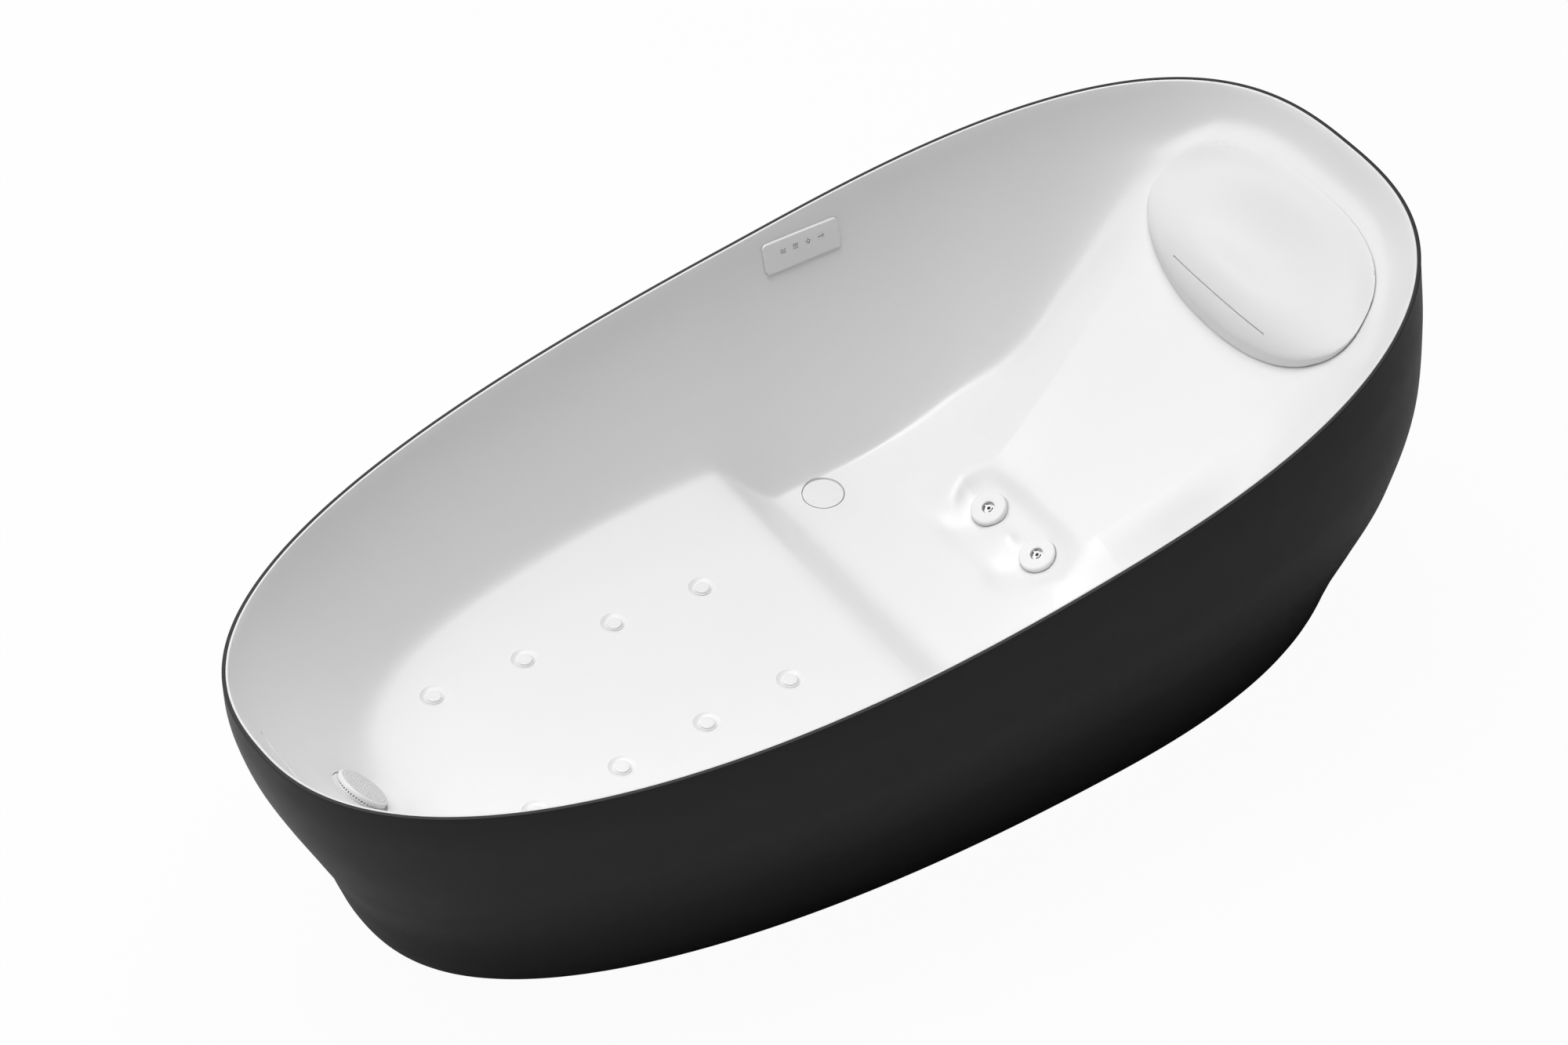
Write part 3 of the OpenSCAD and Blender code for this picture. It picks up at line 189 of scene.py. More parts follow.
def raisedHeight(x, y):
    low = channelHeight(x)
    side = 1 - ease((np.abs(y) - backHalf(x) + 4) / form["backSide"]) ** form["backSidePower"]
    back = softMax(tub["seatHeight"] + form["seatLift"], backHeight(x, y), form["backSoft"])
    return low + (back - low) * side * ease((x - backX + 175) / 60)


def nicheHeight(x, y):
    along = np.maximum(0, x - lumbarX + 37) / form["nicheLength"]
    edge = (along ** 3 + (np.abs(y) / form["nicheHalf"]) ** 3) ** (1 / 3)
    return (tub["seatHeight"] + form["nicheLift"] + form["nicheSlope"] * ramp(x - lumbarX + 51, 8)
            + form["nicheRidge"] * ramp(48 - np.abs(y), 7) * ease((lumbarX + 12 - x) / 40)
            + form["nicheSide"] * ramp(np.abs(y) - 82, 8) * ease((lumbarX - x) / 50)
            + form["nicheWall"] * ramp(edge - 0.875, 0.09) + form["nicheFront"] * ramp(lumbarX - 95 - x, 12))


def floorHeight(x, y, soft):
    along = (x - stepX) / tub["stepRun"]
    down = 1 - ramp(along, form["stepSoft"]) + ramp(along - 1, form["stepSoft"])
    seat = softMin(raisedHeight(x, y), nicheHeight(x, y), min(soft, form["backSoft"]))
    plateau = tub["seatHeight"] + tub["stepHeight"] + tub["plateauSlope"] * (stepX - x)
    return seat + (plateau - seat) * down


def basinHeight(x, y, soft=5.0):
    blend = (form["round"] + form["footRound"] * ease((stepX + 60 - x) / 130)
             + form["backRound"] * ease((x - backX + 145) / 120)
             + form["headRound"] * ease((x - backX - 85) / 300))
    k = 1 + (blend - 1) * ease((1 - reach(x, y)) / form["roundRun"])
    away = np.hypot((x - suctionX) / form["recessShape"], y) / form["recessRadius"]
    recess = form["recessDepth"] * np.exp(-away ** 4)
    return softMax(wallHeight(x, y), floorHeight(x, y, soft), k) - recess


def basinNormal(x, y, soft=5.0):
    e = 1.5
    gx = (basinHeight(x + e, y, soft) - basinHeight(x - e, y, soft)) / (2 * e)
    gy = (basinHeight(x, y + e, soft) - basinHeight(x, y - e, soft)) / (2 * e)
    n = np.stack([-gx, -gy, np.ones_like(gx)], -1)
    return n / np.linalg.norm(n, axis=-1, keepdims=True)


# Mesh helpers
# Smooth shading, with an edge wherever faces meet at more than this angle
def shadeTo(data, degrees=35):
    data.shade_smooth()
    data.set_sharp_from_angle(angle=math.radians(degrees))


def meshFrom(name, points, faces, finish=None, place=None, merge=0.0, fill=False, sharp=None, smooth=True):
    data = bpy.data.meshes.new(name)
    data.from_pydata([tuple(p) for p in np.asarray(points) / 1000], [], [tuple(f) for f in faces])
    work = bmesh.new()
    work.from_mesh(data)
    if merge:
        bmesh.ops.remove_doubles(work, verts=work.verts, dist=merge / 1000)
        bmesh.ops.dissolve_degenerate(work, edges=work.edges, dist=merge / 2000)
    bmesh.ops.recalc_face_normals(work, faces=work.faces)
    if fill:
        bmesh.ops.holes_fill(work, edges=[e for e in work.edges if e.is_boundary])
        bmesh.ops.recalc_face_normals(work, faces=work.faces)
    work.to_mesh(data)
    work.free()
    if place is not None:
        data.transform(place)
    if smooth:
        data.shade_smooth()
    if sharp:
        shadeTo(data, sharp)
    if finish:
        data.materials.append(finish)
    return placed(name, data)


def ringFaces(ringCount, count, closed=False):
    faces = []
    for r in range(ringCount if closed else ringCount - 1):
        s = (r + 1) % ringCount
        for i in range(count):
            j = (i + 1) % count
            faces.append((r * count + i, s * count + i, s * count + j, r * count + j))
    return faces


def tubeFaces(ringCount, count):
    end = ringCount * count
    return ringFaces(ringCount, count) + [tuple(range(count)), tuple(range(end - 1, end - count - 1, -1))]


def spun(profile, around):
    angles = np.arange(around) * 2 * math.pi / around
    return np.concatenate([np.stack([r * np.cos(angles), r * np.sin(angles), np.full(around, z)], 1)
                           for r, z in profile])


def roundedProfile(corners, steps=5):
    points = []
    for k, (r, z, radius) in enumerate(corners):
        if radius <= 0 or k in (0, len(corners) - 1):
            points.append((r, z))
            continue
        here = np.array([r, z])
        before = np.array(corners[k - 1][:2]) - here
        after = np.array(corners[k + 1][:2]) - here
        a = here + before / np.linalg.norm(before) * radius
        b = here + after / np.linalg.norm(after) * radius
        for t in np.linspace(0, 1, steps + 1):
            points.append(tuple((1 - t) ** 2 * a + 2 * t * (1 - t) * here + t * t * b))
    return points


def turned(name, corners, place, finish=None, around=96):
    profile = roundedProfile(corners)
    return meshFrom(name, spun(profile, around), ringFaces(len(profile), around), finish, place,
                    merge=0.004, fill=True, sharp=35)


def uprightPlace(x, y, z):
    return Matrix.Translation(Vector((x, y, z)) / 1000)


# Places on the basin surface: z out of the surface, x downhill
def surfacePlace(x, y):
    n = basinNormal(np.array(float(x)), np.array(float(y)))
    tilt = Matrix.Rotation(math.acos(n[2]), 4, "Y")
    spot = uprightPlace(x, y, float(basinHeight(x, y)))
    return spot @ Matrix.Rotation(math.atan2(n[1], n[0]), 4, "Z") @ tilt


fittings = {
    "jetFromFoot": 413.0, "jetPitch": 173.3, "jetFootY": 157.6, "jetHeadY": 132.6,
    "drain": (200.4, 296.0), "overflowFromFoot": 45.0, "overflowLength": 132.0,
    "panelFromHead": 813.0, "panelLength": 155.0, "panelWidth": 58.0, "panelProud": 6.0, "panelInset": 17.0,
    "spoutX": 876.0, "peg": (900.0, 150.0),
}
jetSpots = [(footX + fittings["jetFromFoot"] + k * fittings["jetPitch"],
             side * (fittings["jetFootY"] + (fittings["jetHeadY"] - fittings["jetFootY"]) * k / 3))
            for k in range(4) for side in (-1, 1)]
lumbarPlaces = {"left": surfacePlace(lumbarX, lumbarY), "right": surfacePlace(lumbarX, -lumbarY)}
suctionPlace = surfacePlace(suctionX, 0)
drainX, drainY = fittings["drain"]
drainPlace = uprightPlace(drainX, drainY, float(basinHeight(drainX, drainY)))
pegX, pegY = fittings["peg"]
pegZ = float(basinHeight(pegX, pegY))
overflowPlace = surfacePlace(footX + fittings["overflowFromFoot"], 0)
panelX = headX - fittings["panelFromHead"]
panelPlace = surfacePlace(panelX, float(rimHalf(np.array(panelX), rimInset)) - fittings["panelInset"])


# Solid tools for the cut-outs
def evaluated(piece):
    graph = bpy.context.evaluated_depsgraph_get()
    return bpy.data.meshes.new_from_object(piece.evaluated_get(graph))


def combine(piece, tool, operation):
    for solver in ("MANIFOLD", "EXACT"):
        change = piece.modifiers.new("cut", "BOOLEAN")
        change.object = tool
        change.operation = operation
        change.solver = solver
        result = evaluated(piece)
        piece.modifiers.clear()
        if len(result.polygons):
            break
        bpy.data.meshes.remove(result)
        print(piece.name, "needs the exact solver")
    old = piece.data
    piece.data = result
    bpy.data.meshes.remove(old)
    bpy.data.objects.remove(tool)


def joined(name, parts):
    work = bmesh.new()
    for part in parts:
        work.from_mesh(part.data)
    data = bpy.data.meshes.new(name)
    work.to_mesh(data)
    work.free()
    for material in parts[0].data.materials:
        data.materials.append(material)
    for part in parts:
        bpy.data.objects.remove(part)
    return placed(name, data)


def plug(place, layers, around=64):
    corners = [(0, layers[0][1], 0)] + [(r, z, 0) for r, z in layers] + [(0, layers[-1][1], 0)]
    return turned("plug", corners, place, around=around)


def roundedOutline(length, width, radius, perCorner):
    points = []
    for cx, cy, start in ((1, 1, 0), (-1, 1, 90), (-1, -1, 180), (1, -1, 270)):
        for k in range(perCorner + 1):
            angle = math.radians(start + 90 * k / perCorner)
            points.append((cx * (length / 2 - radius) + radius * math.cos(angle),
                           cy * (width / 2 - radius) + radius * math.sin(angle)))
    return np.array(points)


# A slab with rounded corners whose edges follow (inset, height) steps from bottom to top
def slab(name, length, width, radius, steps, place, finish=None, perCorner=10):
    rings = []
    for inset, z in steps:
        outline = roundedOutline(length - 2 * inset, width - 2 * inset, max(radius - inset, 0.3), perCorner)
        rings.append(np.column_stack([outline, np.full(len(outline), z)]))
    return meshFrom(name, np.concatenate(rings), tubeFaces(len(rings), len(rings[0])), finish, place, sharp=35)


# Finishes
def newGroup(name, inputs, outputs):
    group = bpy.data.node_groups.new(name, "ShaderNodeTree")
    group.interface.new_socket("Vector", in_out="INPUT", socket_type="NodeSocketVector")
    for label, value in inputs.items():
        socket = group.interface.new_socket(label, in_out="INPUT", socket_type="NodeSocketFloat")
        socket.default_value = value
    for label in outputs:
        group.interface.new_socket(label, in_out="OUTPUT", socket_type="NodeSocketFloat")
    return group, group.nodes.new("NodeGroupInput").outputs, group.nodes.new("NodeGroupOutput").inputs


# A value or a link for each input in the list
def feed(tree, sockets, values):
    for label, value in values.items():
        if isinstance(value, bpy.types.NodeSocket):
            tree.links.new(value, sockets[label])
        else:
            sockets[label].default_value = value


def newNode(tree, kind, values):
    node = tree.nodes.new(kind)
    feed(tree, node.inputs, values)
    return node


def mathNode(tree, operation, a, b, clamp=False):
    node = newNode(tree, "ShaderNodeMath", {0: a, 1: b})
    node.operation = operation
    node.use_clamp = clamp
    return node.outputs[0]


def noiseNode(tree, vector, scale, detail, rough):
    values = {"Vector": vector, "Scale": scale, "Detail": detail, "Roughness": rough}
    return newNode(tree, "ShaderNodeTexNoise", values).outputs["Fac"]


def groupNode(tree, group, place, values):
    node = tree.nodes.new("ShaderNodeGroup")
    node.node_tree = group
    feed(tree, node.inputs, {"Vector": place, **values})
    return node.outputs


def mixColors(tree, share, first, second):
    node = tree.nodes.new("ShaderNodeMix")
    node.data_type = "RGBA"
    feed(tree, node.inputs, {0: share, 6: first, 7: second})
    return node.outputs[2]


# Fine grain: uneven gloss, a little colour drift and a low bump
def makeGrainGroup():
    group, start, end = newGroup(
        "fineGrain", {"Scale": 400.0, "Roughness": 0.4, "Unevenness": 0.05, "Drift Scale": 5.0},
        ("Roughness", "Height", "Drift"))
    smears = noiseNode(group, start["Vector"], 23.0, 4.0, 0.65)
    change = mathNode(group, "MULTIPLY", mathNode(group, "SUBTRACT", smears, 0.5), start["Unevenness"])
    change = mathNode(group, "MULTIPLY", change, 2.0)
    feed(group, end, {
        "Roughness": mathNode(group, "ADD", start["Roughness"], change, True),
        "Height": noiseNode(group, start["Vector"], start["Scale"], 2.0, 0.6),
        "Drift": noiseNode(group, start["Vector"], start["Drift Scale"], 3.0, 0.5)})
    return group


# Light dust that settles on faces that look up
def makeDustGroup():
    group, start, end = newGroup("settledDust", {"Amount": 0.1, "Scale": 9.0}, ("Mask",))
    geometry = group.nodes.new("ShaderNodeNewGeometry")
    split = newNode(group, "ShaderNodeSeparateXYZ", {0: geometry.outputs["Normal"]})
    up = mathNode(group, "MAXIMUM", split.outputs["Z"], 0.0)
    cloud = noiseNode(group, start["Vector"], start["Scale"], 5.0, 0.6)
    lay = mathNode(group, "MULTIPLY", mathNode(group, "MULTIPLY", up, up), cloud)
    feed(group, end, {"Mask": mathNode(group, "MULTIPLY", lay, start["Amount"], True)})
    return group


# Drawn-out marks, for brushed and turned metal or moulding flow
def makeBrushGroup():
    group, start, end = newGroup("brushedLines", {"Scale": 60.0, "Stretch": 18.0}, ("Height",))
    stretch = newNode(group, "ShaderNodeCombineXYZ", {0: 1.0, 1: 1.0, 2: start["Stretch"]})
    scaled = newNode(group, "ShaderNodeMapping", {"Vector": start["Vector"], "Scale": stretch.outputs[0]})
    feed(group, end, {"Height": noiseNode(group, scaled.outputs[0], start["Scale"], 3.0, 0.6)})
    return group


grainGroup = makeGrainGroup()
dustGroup = makeDustGroup()
brushGroup = makeBrushGroup()

# Color, roughness and its unevenness, grain, bump and drift of each finish, then what only some of them have
lookParts = ("color", "rough", "uneven", "grain", "bump", "drift")
finishes = {
    "skirt_black": ((0.04, 0.04, 0.041), 0.45, 0.05, 900, 0.02, 0.12, {"shine": 0.2}),
    "acrylic_white": ((0.81, 0.81, 0.81), 0.34, 0.04, 300, 0.004, 0.015, {"coat": 0.2}),
    "pillow_white": ((0.75, 0.75, 0.75), 0.42, 0.05, 1400, 0.05, 0.02, {}),
    "steel_bright": ((0.62, 0.63, 0.64), 0.24, 0.06, 300, 0.02, 0.06, {"metal": 1.0, "brush": 0.05}),
    "nozzle_silver": ((0.74, 0.745, 0.75), 0.34, 0.05, 300, 0.01, 0.05, {"metal": 1.0, "brush": 0.03}),
    "plastic_white": ((0.81, 0.81, 0.81), 0.34, 0.05, 900, 0.02, 0.02, {}),
    "pipe_grey": ((0.55, 0.56, 0.57), 0.42, 0.06, 600, 0.02, 0.06, {"dust": 0.1}),
    "hose_grey": ((0.38, 0.39, 0.4), 0.55, 0.06, 700, 0.06, 0.08, {"dust": 0.12}),
    "rubber_black": ((0.02, 0.02, 0.021), 0.72, 0.08, 1200, 0.08, 0.2, {"dust": 0.06}),
    "machine_black": ((0.028, 0.028, 0.03), 0.5, 0.07, 900, 0.1, 0.15, {"dust": 0.05}),
    "motor_grey": ((0.24, 0.25, 0.26), 0.42, 0.08, 700, 0.08, 0.1, {"dust": 0.06}),
    "wheel_grey": ((0.4, 0.4, 0.41), 0.45, 0.05, 700, 0.04, 0.05, {}),
    "frame_black": ((0.032, 0.032, 0.034), 0.55, 0.08, 1600, 0.16, 0.15, {"dust": 0.05}),
    "board_green": ((0.03, 0.16, 0.06), 0.35, 0.06, 500, 0.03, 0.1, {}),
    "key_grey": ((0.8, 0.802, 0.805), 0.4, 0.05, 900, 0.03, 0.02, {}),
    "cord_black": ((0.022, 0.022, 0.024), 0.5, 0.06, 1200, 0.05, 0.1, {"dust": 0.04}),
    "print_grey": ((0.06, 0.06, 0.065), 0.5, 0.04, 900, 0.01, 0.05, {}),
}
surface = {"coatRoughness": 0.22, "shine": 0.5, "bumpStrength": 0.6, "bumpDistance": 0.001}
dustColor = (0.45, 0.44, 0.42, 1)


def makeFinish(name, row):
    look = {**dict(zip(lookParts, row)), **row[-1]}
    paint = bpy.data.materials.new(name)
    paint.use_nodes = True
    tree = paint.node_tree
    shader = tree.nodes["Principled BSDF"].inputs
    place = tree.nodes.new("ShaderNodeTexCoord").outputs["Object"]
    grain = groupNode(tree, grainGroup, place, {"Scale": look["grain"], "Roughness": look["rough"],
                                                "Unevenness": look["uneven"]})
    darker = [c * (1 - look["drift"]) for c in look["color"]]
    color = mixColors(tree, grain["Drift"], (*look["color"], 1), (*darker, 1))
    if "dust" in look:
        dust = groupNode(tree, dustGroup, place, {"Amount": look["dust"]})
        color = mixColors(tree, dust["Mask"], color, dustColor)
    height = mathNode(tree, "MULTIPLY", grain["Height"], look["bump"])
    if "brush" in look:
        brush = groupNode(tree, brushGroup, place, {})
        height = mathNode(tree, "ADD", height, mathNode(tree, "MULTIPLY", brush["Height"], look["brush"]))
    bump = newNode(tree, "ShaderNodeBump", {
        "Strength": surface["bumpStrength"], "Distance": surface["bumpDistance"], "Height": height})
    feed(tree, shader, {
        "Metallic": look.get("metal", 0.0), "Coat Weight": look.get("coat", 0.0),
        "Coat Roughness": surface["coatRoughness"], "Specular IOR Level": look.get("shine", surface["shine"]),
        "Roughness": grain["Roughness"], "Base Color": color, "Normal": bump.outputs["Normal"]})
    return paint


material = {name: makeFinish(name, look) for name, look in finishes.items()}
white = material["plastic_white"]
print("finishes", len(material))


# Basin: a fine sheet over the surface of the solid, with its lip and underside
basinMesh = {
    "endStations": (110, 70), "stepEvery": 3.5, "seatEvery": 10.0, "scoopEvery": 3.5, "halfCells": 80,
    "underCells": 24, "beforeStep": 40, "afterStep": 35, "beforeJets": 110, "afterBack": 75,
}


# Shares from 0 to 1, crowded at the start
def crowding(count):
    return 1 - np.cos(np.linspace(0, math.pi / 2, count + 1))


def basinStations():
    stepFrom = stepX - basinMesh["beforeStep"]
    stepTo = stepX + tub["stepRun"] + basinMesh["afterStep"]
    scoopFrom = lumbarX - basinMesh["beforeJets"]
    scoopTo = backX + basinMesh["afterBack"]
    footCount, headCount = basinMesh["endStations"]
    return np.concatenate([
        footX + (stepFrom - footX) * crowding(footCount)[:-1],
        np.arange(stepFrom, stepTo, basinMesh["stepEvery"]),
        np.arange(stepTo, scoopFrom, basinMesh["seatEvery"]),
        np.arange(scoopFrom, scoopTo, basinMesh["scoopEvery"]),
        (headX + (scoopTo - headX) * crowding(headCount)[:-1])[::-1]])


def spine(x):
    return wideX + (x - wideX) * (1 - 0.2 * (np.abs(x - wideX) / halfLength(x)) ** 4)


def inward(x, inset):
    return wideX + (x - wideX) * (halfLength(x) - inset) / halfLength(x)


def planPoint(x, share, inset):
    end = inward(x, inset)
    middle = spine(end)
    return middle + (end - middle) * share ** 1.5, share * rimHalf(end, inset)


def smoothed(values, width, axis):
    kernel = np.hanning(width + 2)[1:-1]
    kernel /= kernel.sum()
    half = width // 2
    padded = np.pad(values, [(half, half) if a == axis else (0, 0) for a in range(values.ndim)], mode="edge")
    return np.apply_along_axis(lambda row: np.convolve(row, kernel, "valid"), axis, padded)


# Shares of the half width, crowded where the surface bends most
def crowdedShares(stations, inset, cells):
    dense = np.linspace(0, 1, 501)
    x, y = planPoint(stations[:, None], dense[None, :], inset)
    z = basinHeight(x, y)
    half = np.maximum(rimHalf(inward(stations, inset), inset), 60)[:, None]
    slope = np.gradient(z, axis=1) / (half / 500)
    bend = np.abs(np.gradient(np.arctan(slope), axis=1)) / (half / 500)
    weight = 1 + 60 * np.minimum(bend, 0.3)
    weight = smoothed(smoothed(weight, 13, 1), 13, 0)
    total = np.cumsum((weight[:, 1:] + weight[:, :-1]) / 2, axis=1)
    total = np.concatenate([np.zeros((len(stations), 1)), total], axis=1)
    total /= total[:, -1:]
    wanted = np.linspace(0, 1, cells + 1)
    return np.array([np.interp(wanted, row, dense) for row in total])


# The lip as (inset, drop), and each boss and cut as (radius, height), or (inset, height) for the square ones
basinParts = {
    "lip": [(10.12, 0.6), (9.7, 0.14), (9.1, 0), (7.2, 0), (6.6, 0.2), (6.3, 0.9), (6.3, 8),
            (6.3, tub["lipDepth"])],
    "boss": [(46, -18), (46, -4)], "lumbarBoss": [(33, -18), (33, -4)], "slitBoss": [(0, -14), (0, -4)],
    "jet": [(13, -20), (13, -4), (16.5, -4), (23.2, -0.5), (24, 0), (25, 0.5), (25, 6)],
    "lumbar": [(22.3, -30), (22.3, -0.6), (34, -0.6), (34, 30)],
    "suction": [(30.3, -30), (30.3, -2), (53, -2), (53, 30)],
    "drain": [(23.3, -30), (23.3, -8), (38.5, -8), (38.5, -0.7), (39.2, 0.1), (39.2, 13)],
    "slit": [(0, -20), (0, -0.4), (-0.6, 0.2), (-0.6, 8)], "panel": [(0, -2), (0, 30)],
    "spout": [(17.3, 430), (17.3, 600)], "peg": [(8.3, -60), (8.3, 30)],
}


def makeBasin():
    stations = basinStations()
    count = len(stations)
    topInset = rimInset + 0.35
    shares = crowdedShares(stations, topInset, basinMesh["halfCells"])
    x, y = planPoint(stations[:, None], shares, topInset)
    top = np.stack([x, y, basinHeight(x, y)], -1)
    rim = []
    for inset, drop in basinParts["lip"]:
        edge = inward(stations, inset)
        rim.append(np.stack([edge, rimHalf(edge, inset), rimHeight(edge) - drop], -1))
    rim = np.stack(rim, 1)
    lower = np.linspace(0.92, 0, basinMesh["underCells"] + 1)[None, :] * np.ones((count, 1))
    x, y = planPoint(stations[:, None], lower, rimInset)
    under = np.stack([x, y, basinHeight(x, y, 25.0)], -1) - basinNormal(x, y, 25.0) * tub["basinWall"]
    side = np.concatenate([top, rim, under], 1)
    width = side.shape[1]
    mirrored = side * np.array([1, -1, 1])
    points = np.concatenate([side.reshape(-1, 3), mirrored.reshape(-1, 3)])
    faces = []
    for i in range(count - 1):
        for j in range(width - 1):
            a, b, c, d = i * width + j, i * width + j + 1, (i + 1) * width + j + 1, (i + 1) * width + j
            faces.append((a, d, c, b))
            faces.append(tuple(count * width + k for k in (a, b, c, d)))
    piece = meshFrom("basinShell", points, faces, material["acrylic_white"], merge=0.02)
    bosses = [plug(place, basinParts["boss"]) for place in (suctionPlace, drainPlace)]
    bosses += [plug(place, basinParts["lumbarBoss"]) for place in lumbarPlaces.values()]
    bosses.append(slab("boss", 26, fittings["overflowLength"] + 12, 2, basinParts["slitBoss"],
                       overflowPlace @ Matrix.Translation((0.004, 0, 0)), perCorner=2))
    combine(piece, joined("bosses", bosses), "UNION")
    holes = [plug(surfacePlace(*spot), basinParts["jet"]) for spot in jetSpots]
    holes += [plug(place, basinParts["lumbar"]) for place in lumbarPlaces.values()]
    holes.append(plug(suctionPlace, basinParts["suction"], 96))
    holes.append(plug(drainPlace, basinParts["drain"], 96))
    holes.append(slab("slit", 5, fittings["overflowLength"], 2.4, basinParts["slit"], overflowPlace))
    holes.append(slab("recess", fittings["panelWidth"] + 1, fittings["panelLength"] + 1, 8, basinParts["panel"],
                      panelPlace))
    holes.append(plug(uprightPlace(fittings["spoutX"], 0, 0), basinParts["spout"]))
    holes += [plug(uprightPlace(pegX, side * pegY, pegZ), basinParts["peg"]) for side in (-1, 1)]
    combine(piece, joined("holes", holes), "DIFFERENCE")
    return piece


def readAll(items, label, width=3, kind=float):
    values = np.empty(len(items) * width, kind)
    items.foreach_get(label, values)
    return values.reshape(-1, width)


# Corner normals from the surface itself, so that the sheet shades without facets
basinShade = {"sharp": 32, "offSurface": 0.4, "insideRim": 0.9995, "offNormal": 28}


def followSurface(piece):
    data = piece.data
    shadeTo(data, basinShade["sharp"])
    loops = len(data.loops)
    vertexOf = readAll(data.loops, "vertex_index", 1, np.int64)[:, 0]
    spots = readAll(data.vertices, "co")[vertexOf] * 1000
    corner = readAll(data.corner_normals, "vector")
    sizes = readAll(data.polygons, "loop_total", 1, np.int64)[:, 0]
    flat = np.repeat(readAll(data.polygons, "normal"), sizes, axis=0)
    x, y, z = spots.T
    exact = basinNormal(x, y)
    use = np.abs(basinHeight(x, y) - z) < basinShade["offSurface"]
    use &= reach(x, y) < basinShade["insideRim"]
    use &= np.sum(exact * flat, 1) > math.cos(math.radians(basinShade["offNormal"]))
    corner[use] = exact[use]
    data.normals_split_custom_set(corner.tolist())
    print("basin normals", int(use.sum()), "of", loops)


basinShell = makeBasin()
followSurface(basinShell)
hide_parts("basin")
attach(basinShell, "tub")
print("basin", len(basinShell.data.polygons))


# Skirt: one thin moulded shell from the rim down to its foot
skirt = {
    "levels": [0, 0.05, 0.12, 0.2, 0.3, 0.45, 0.7, 0.85, 0.95, 1],
    "foot": [1, 0.85, 0.74, 0.67, 0.59, 0.42, 0.14, 0.03, 0, 0],
    "head": [1, 0.8, 0.66, 0.5, 0.26, 0.07, 0, 0, 0, 0],
    "side": [1, 0.83, 0.75, 0.65, 0.52, 0.26, 0, 0, 0.02, 0.04],
    "power": [2.44, 2.5, 2.55, 2.6, 2.7, 2.8, 2.88, 2.8, 2.68, 2.63],
    "stations": (120, 120), "rows": 60, "rowPower": 1.25, "edge": 1.6, "lean": 100.0, "footPower": (2.26, 0.1),
}


def knotSlopes(values):
    levels = skirt["levels"]
    slopes = [(values[1] - values[0]) / (levels[1] - levels[0])]
    for k in range(1, len(values) - 1):
        rising = (values[k + 1] - values[k]) * (values[k] - values[k - 1]) > 0
        slopes.append((values[k + 1] - values[k - 1]) / (levels[k + 1] - levels[k - 1]) if rising else 0)
    return slopes + [0]


def smoothCurve(values, s):
    levels = skirt["levels"]
    k = max(i for i in range(len(levels) - 1) if s >= levels[i])
    step = levels[k + 1] - levels[k]
    t = (s - levels[k]) / step
    slopes = knotSlopes(values)
    return ((2 * t ** 3 - 3 * t * t + 1) * values[k] + (t ** 3 - 2 * t * t + t) * slopes[k] * step
            + (3 * t * t - 2 * t ** 3) * values[k + 1] + (t ** 3 - t * t) * slopes[k + 1] * step)


def skirtHalf(x, s, inset, drop):
    w = (np.abs(x - wideX) / halfLength(x)) ** powerAt(x)
    middle = wideX + skirt["lean"] * (1 - s)
    head = x > wideX
    power, gain = skirt["footPower"]
    n = np.where(head, smoothCurve(skirt["power"], s), power + gain * s)
    a = np.where(head, headX - tub["headInset"] * smoothCurve(skirt["head"], s) - middle - inset,
                 footX + tub["footInset"] * smoothCurve(skirt["foot"], s) - middle + inset)
    b = tub["width"] / 2 - tub["sideInset"] * smoothCurve(skirt["side"], s)
    height = tub["floorGap"] + s * (rimHeight(x) - tub["floorGap"]) - drop
    return np.stack([middle + a * w ** (1 / n), (b - inset) * np.maximum(0, 1 - w) ** (1 / n), height], -1)


def makeSkirt():
    footCount, headCount = skirt["stations"]
    x = np.concatenate([footX + (wideX - footX) * crowding(footCount),
                        (headX + (wideX - headX) * crowding(headCount))[::-1][1:]])
    edge, wall = skirt["edge"], tub["skirtWall"]
    rows = [(0, 0.5, 0)]
    rows += [(s, 0, 0) for s in np.linspace(0, 1, skirt["rows"] + 1)[:-1] ** skirt["rowPower"]]
    rows += [(1, edge * (1 - math.cos(a)), edge * (1 - math.sin(a)))
             for a in np.radians([0, 20, 40, 60, 80, 90])]
    rows += [(1, wall - 0.6, 0), (1, wall - 0.15, 0.15), (1, wall, 0.6)]
    rows += [(s, wall, 0) for s in np.linspace(0.97, 0, 22)]
    rings = []
    for s, inset, drop in rows:
        half = skirtHalf(x, s, inset, drop)
        rings.append(np.concatenate([half, (half * np.array([1, -1, 1]))[::-1][1:-1]]))
    return meshFrom("skirtShell", np.concatenate(rings), ringFaces(len(rings), len(rings[0]), closed=True),
                    material["skirt_black"], merge=0.01, sharp=40)


skirtShell = makeSkirt()
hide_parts("outer_skirt")
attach(skirtShell, "tub")
print("skirt", len(skirtShell.data.polygons))


# Headrest pillow: moulded foam with a smooth skin and a slot for the waterfall
pillow = {
    "length": 524.0, "width": 221.0, "fromHead": 172.0, "height": 91.0, "around": 180, "bulge": 4.0,
    "spoutShare": 0.84, "cornerPower": 0.85, "taper": 0.124, "slope": 0.58, "dish": 20.0, "wall": 0.38,
    "slot": (252.0, 1.8), "spout": (262.0, 2.8), "inlet": (21.0, 2.8), "spoutBore": 17.5, "pegBore": 5.3,
}
pillowX = headX - pillow["fromHead"]
pillowFront = pillowX - pillow["width"] / 2
spoutZ = float(basinHeight(pillowFront, 0.0)) + pillow["spoutShare"] * pillow["height"]


def signedPower(value, power):
    return np.sign(value) * np.abs(value) ** power


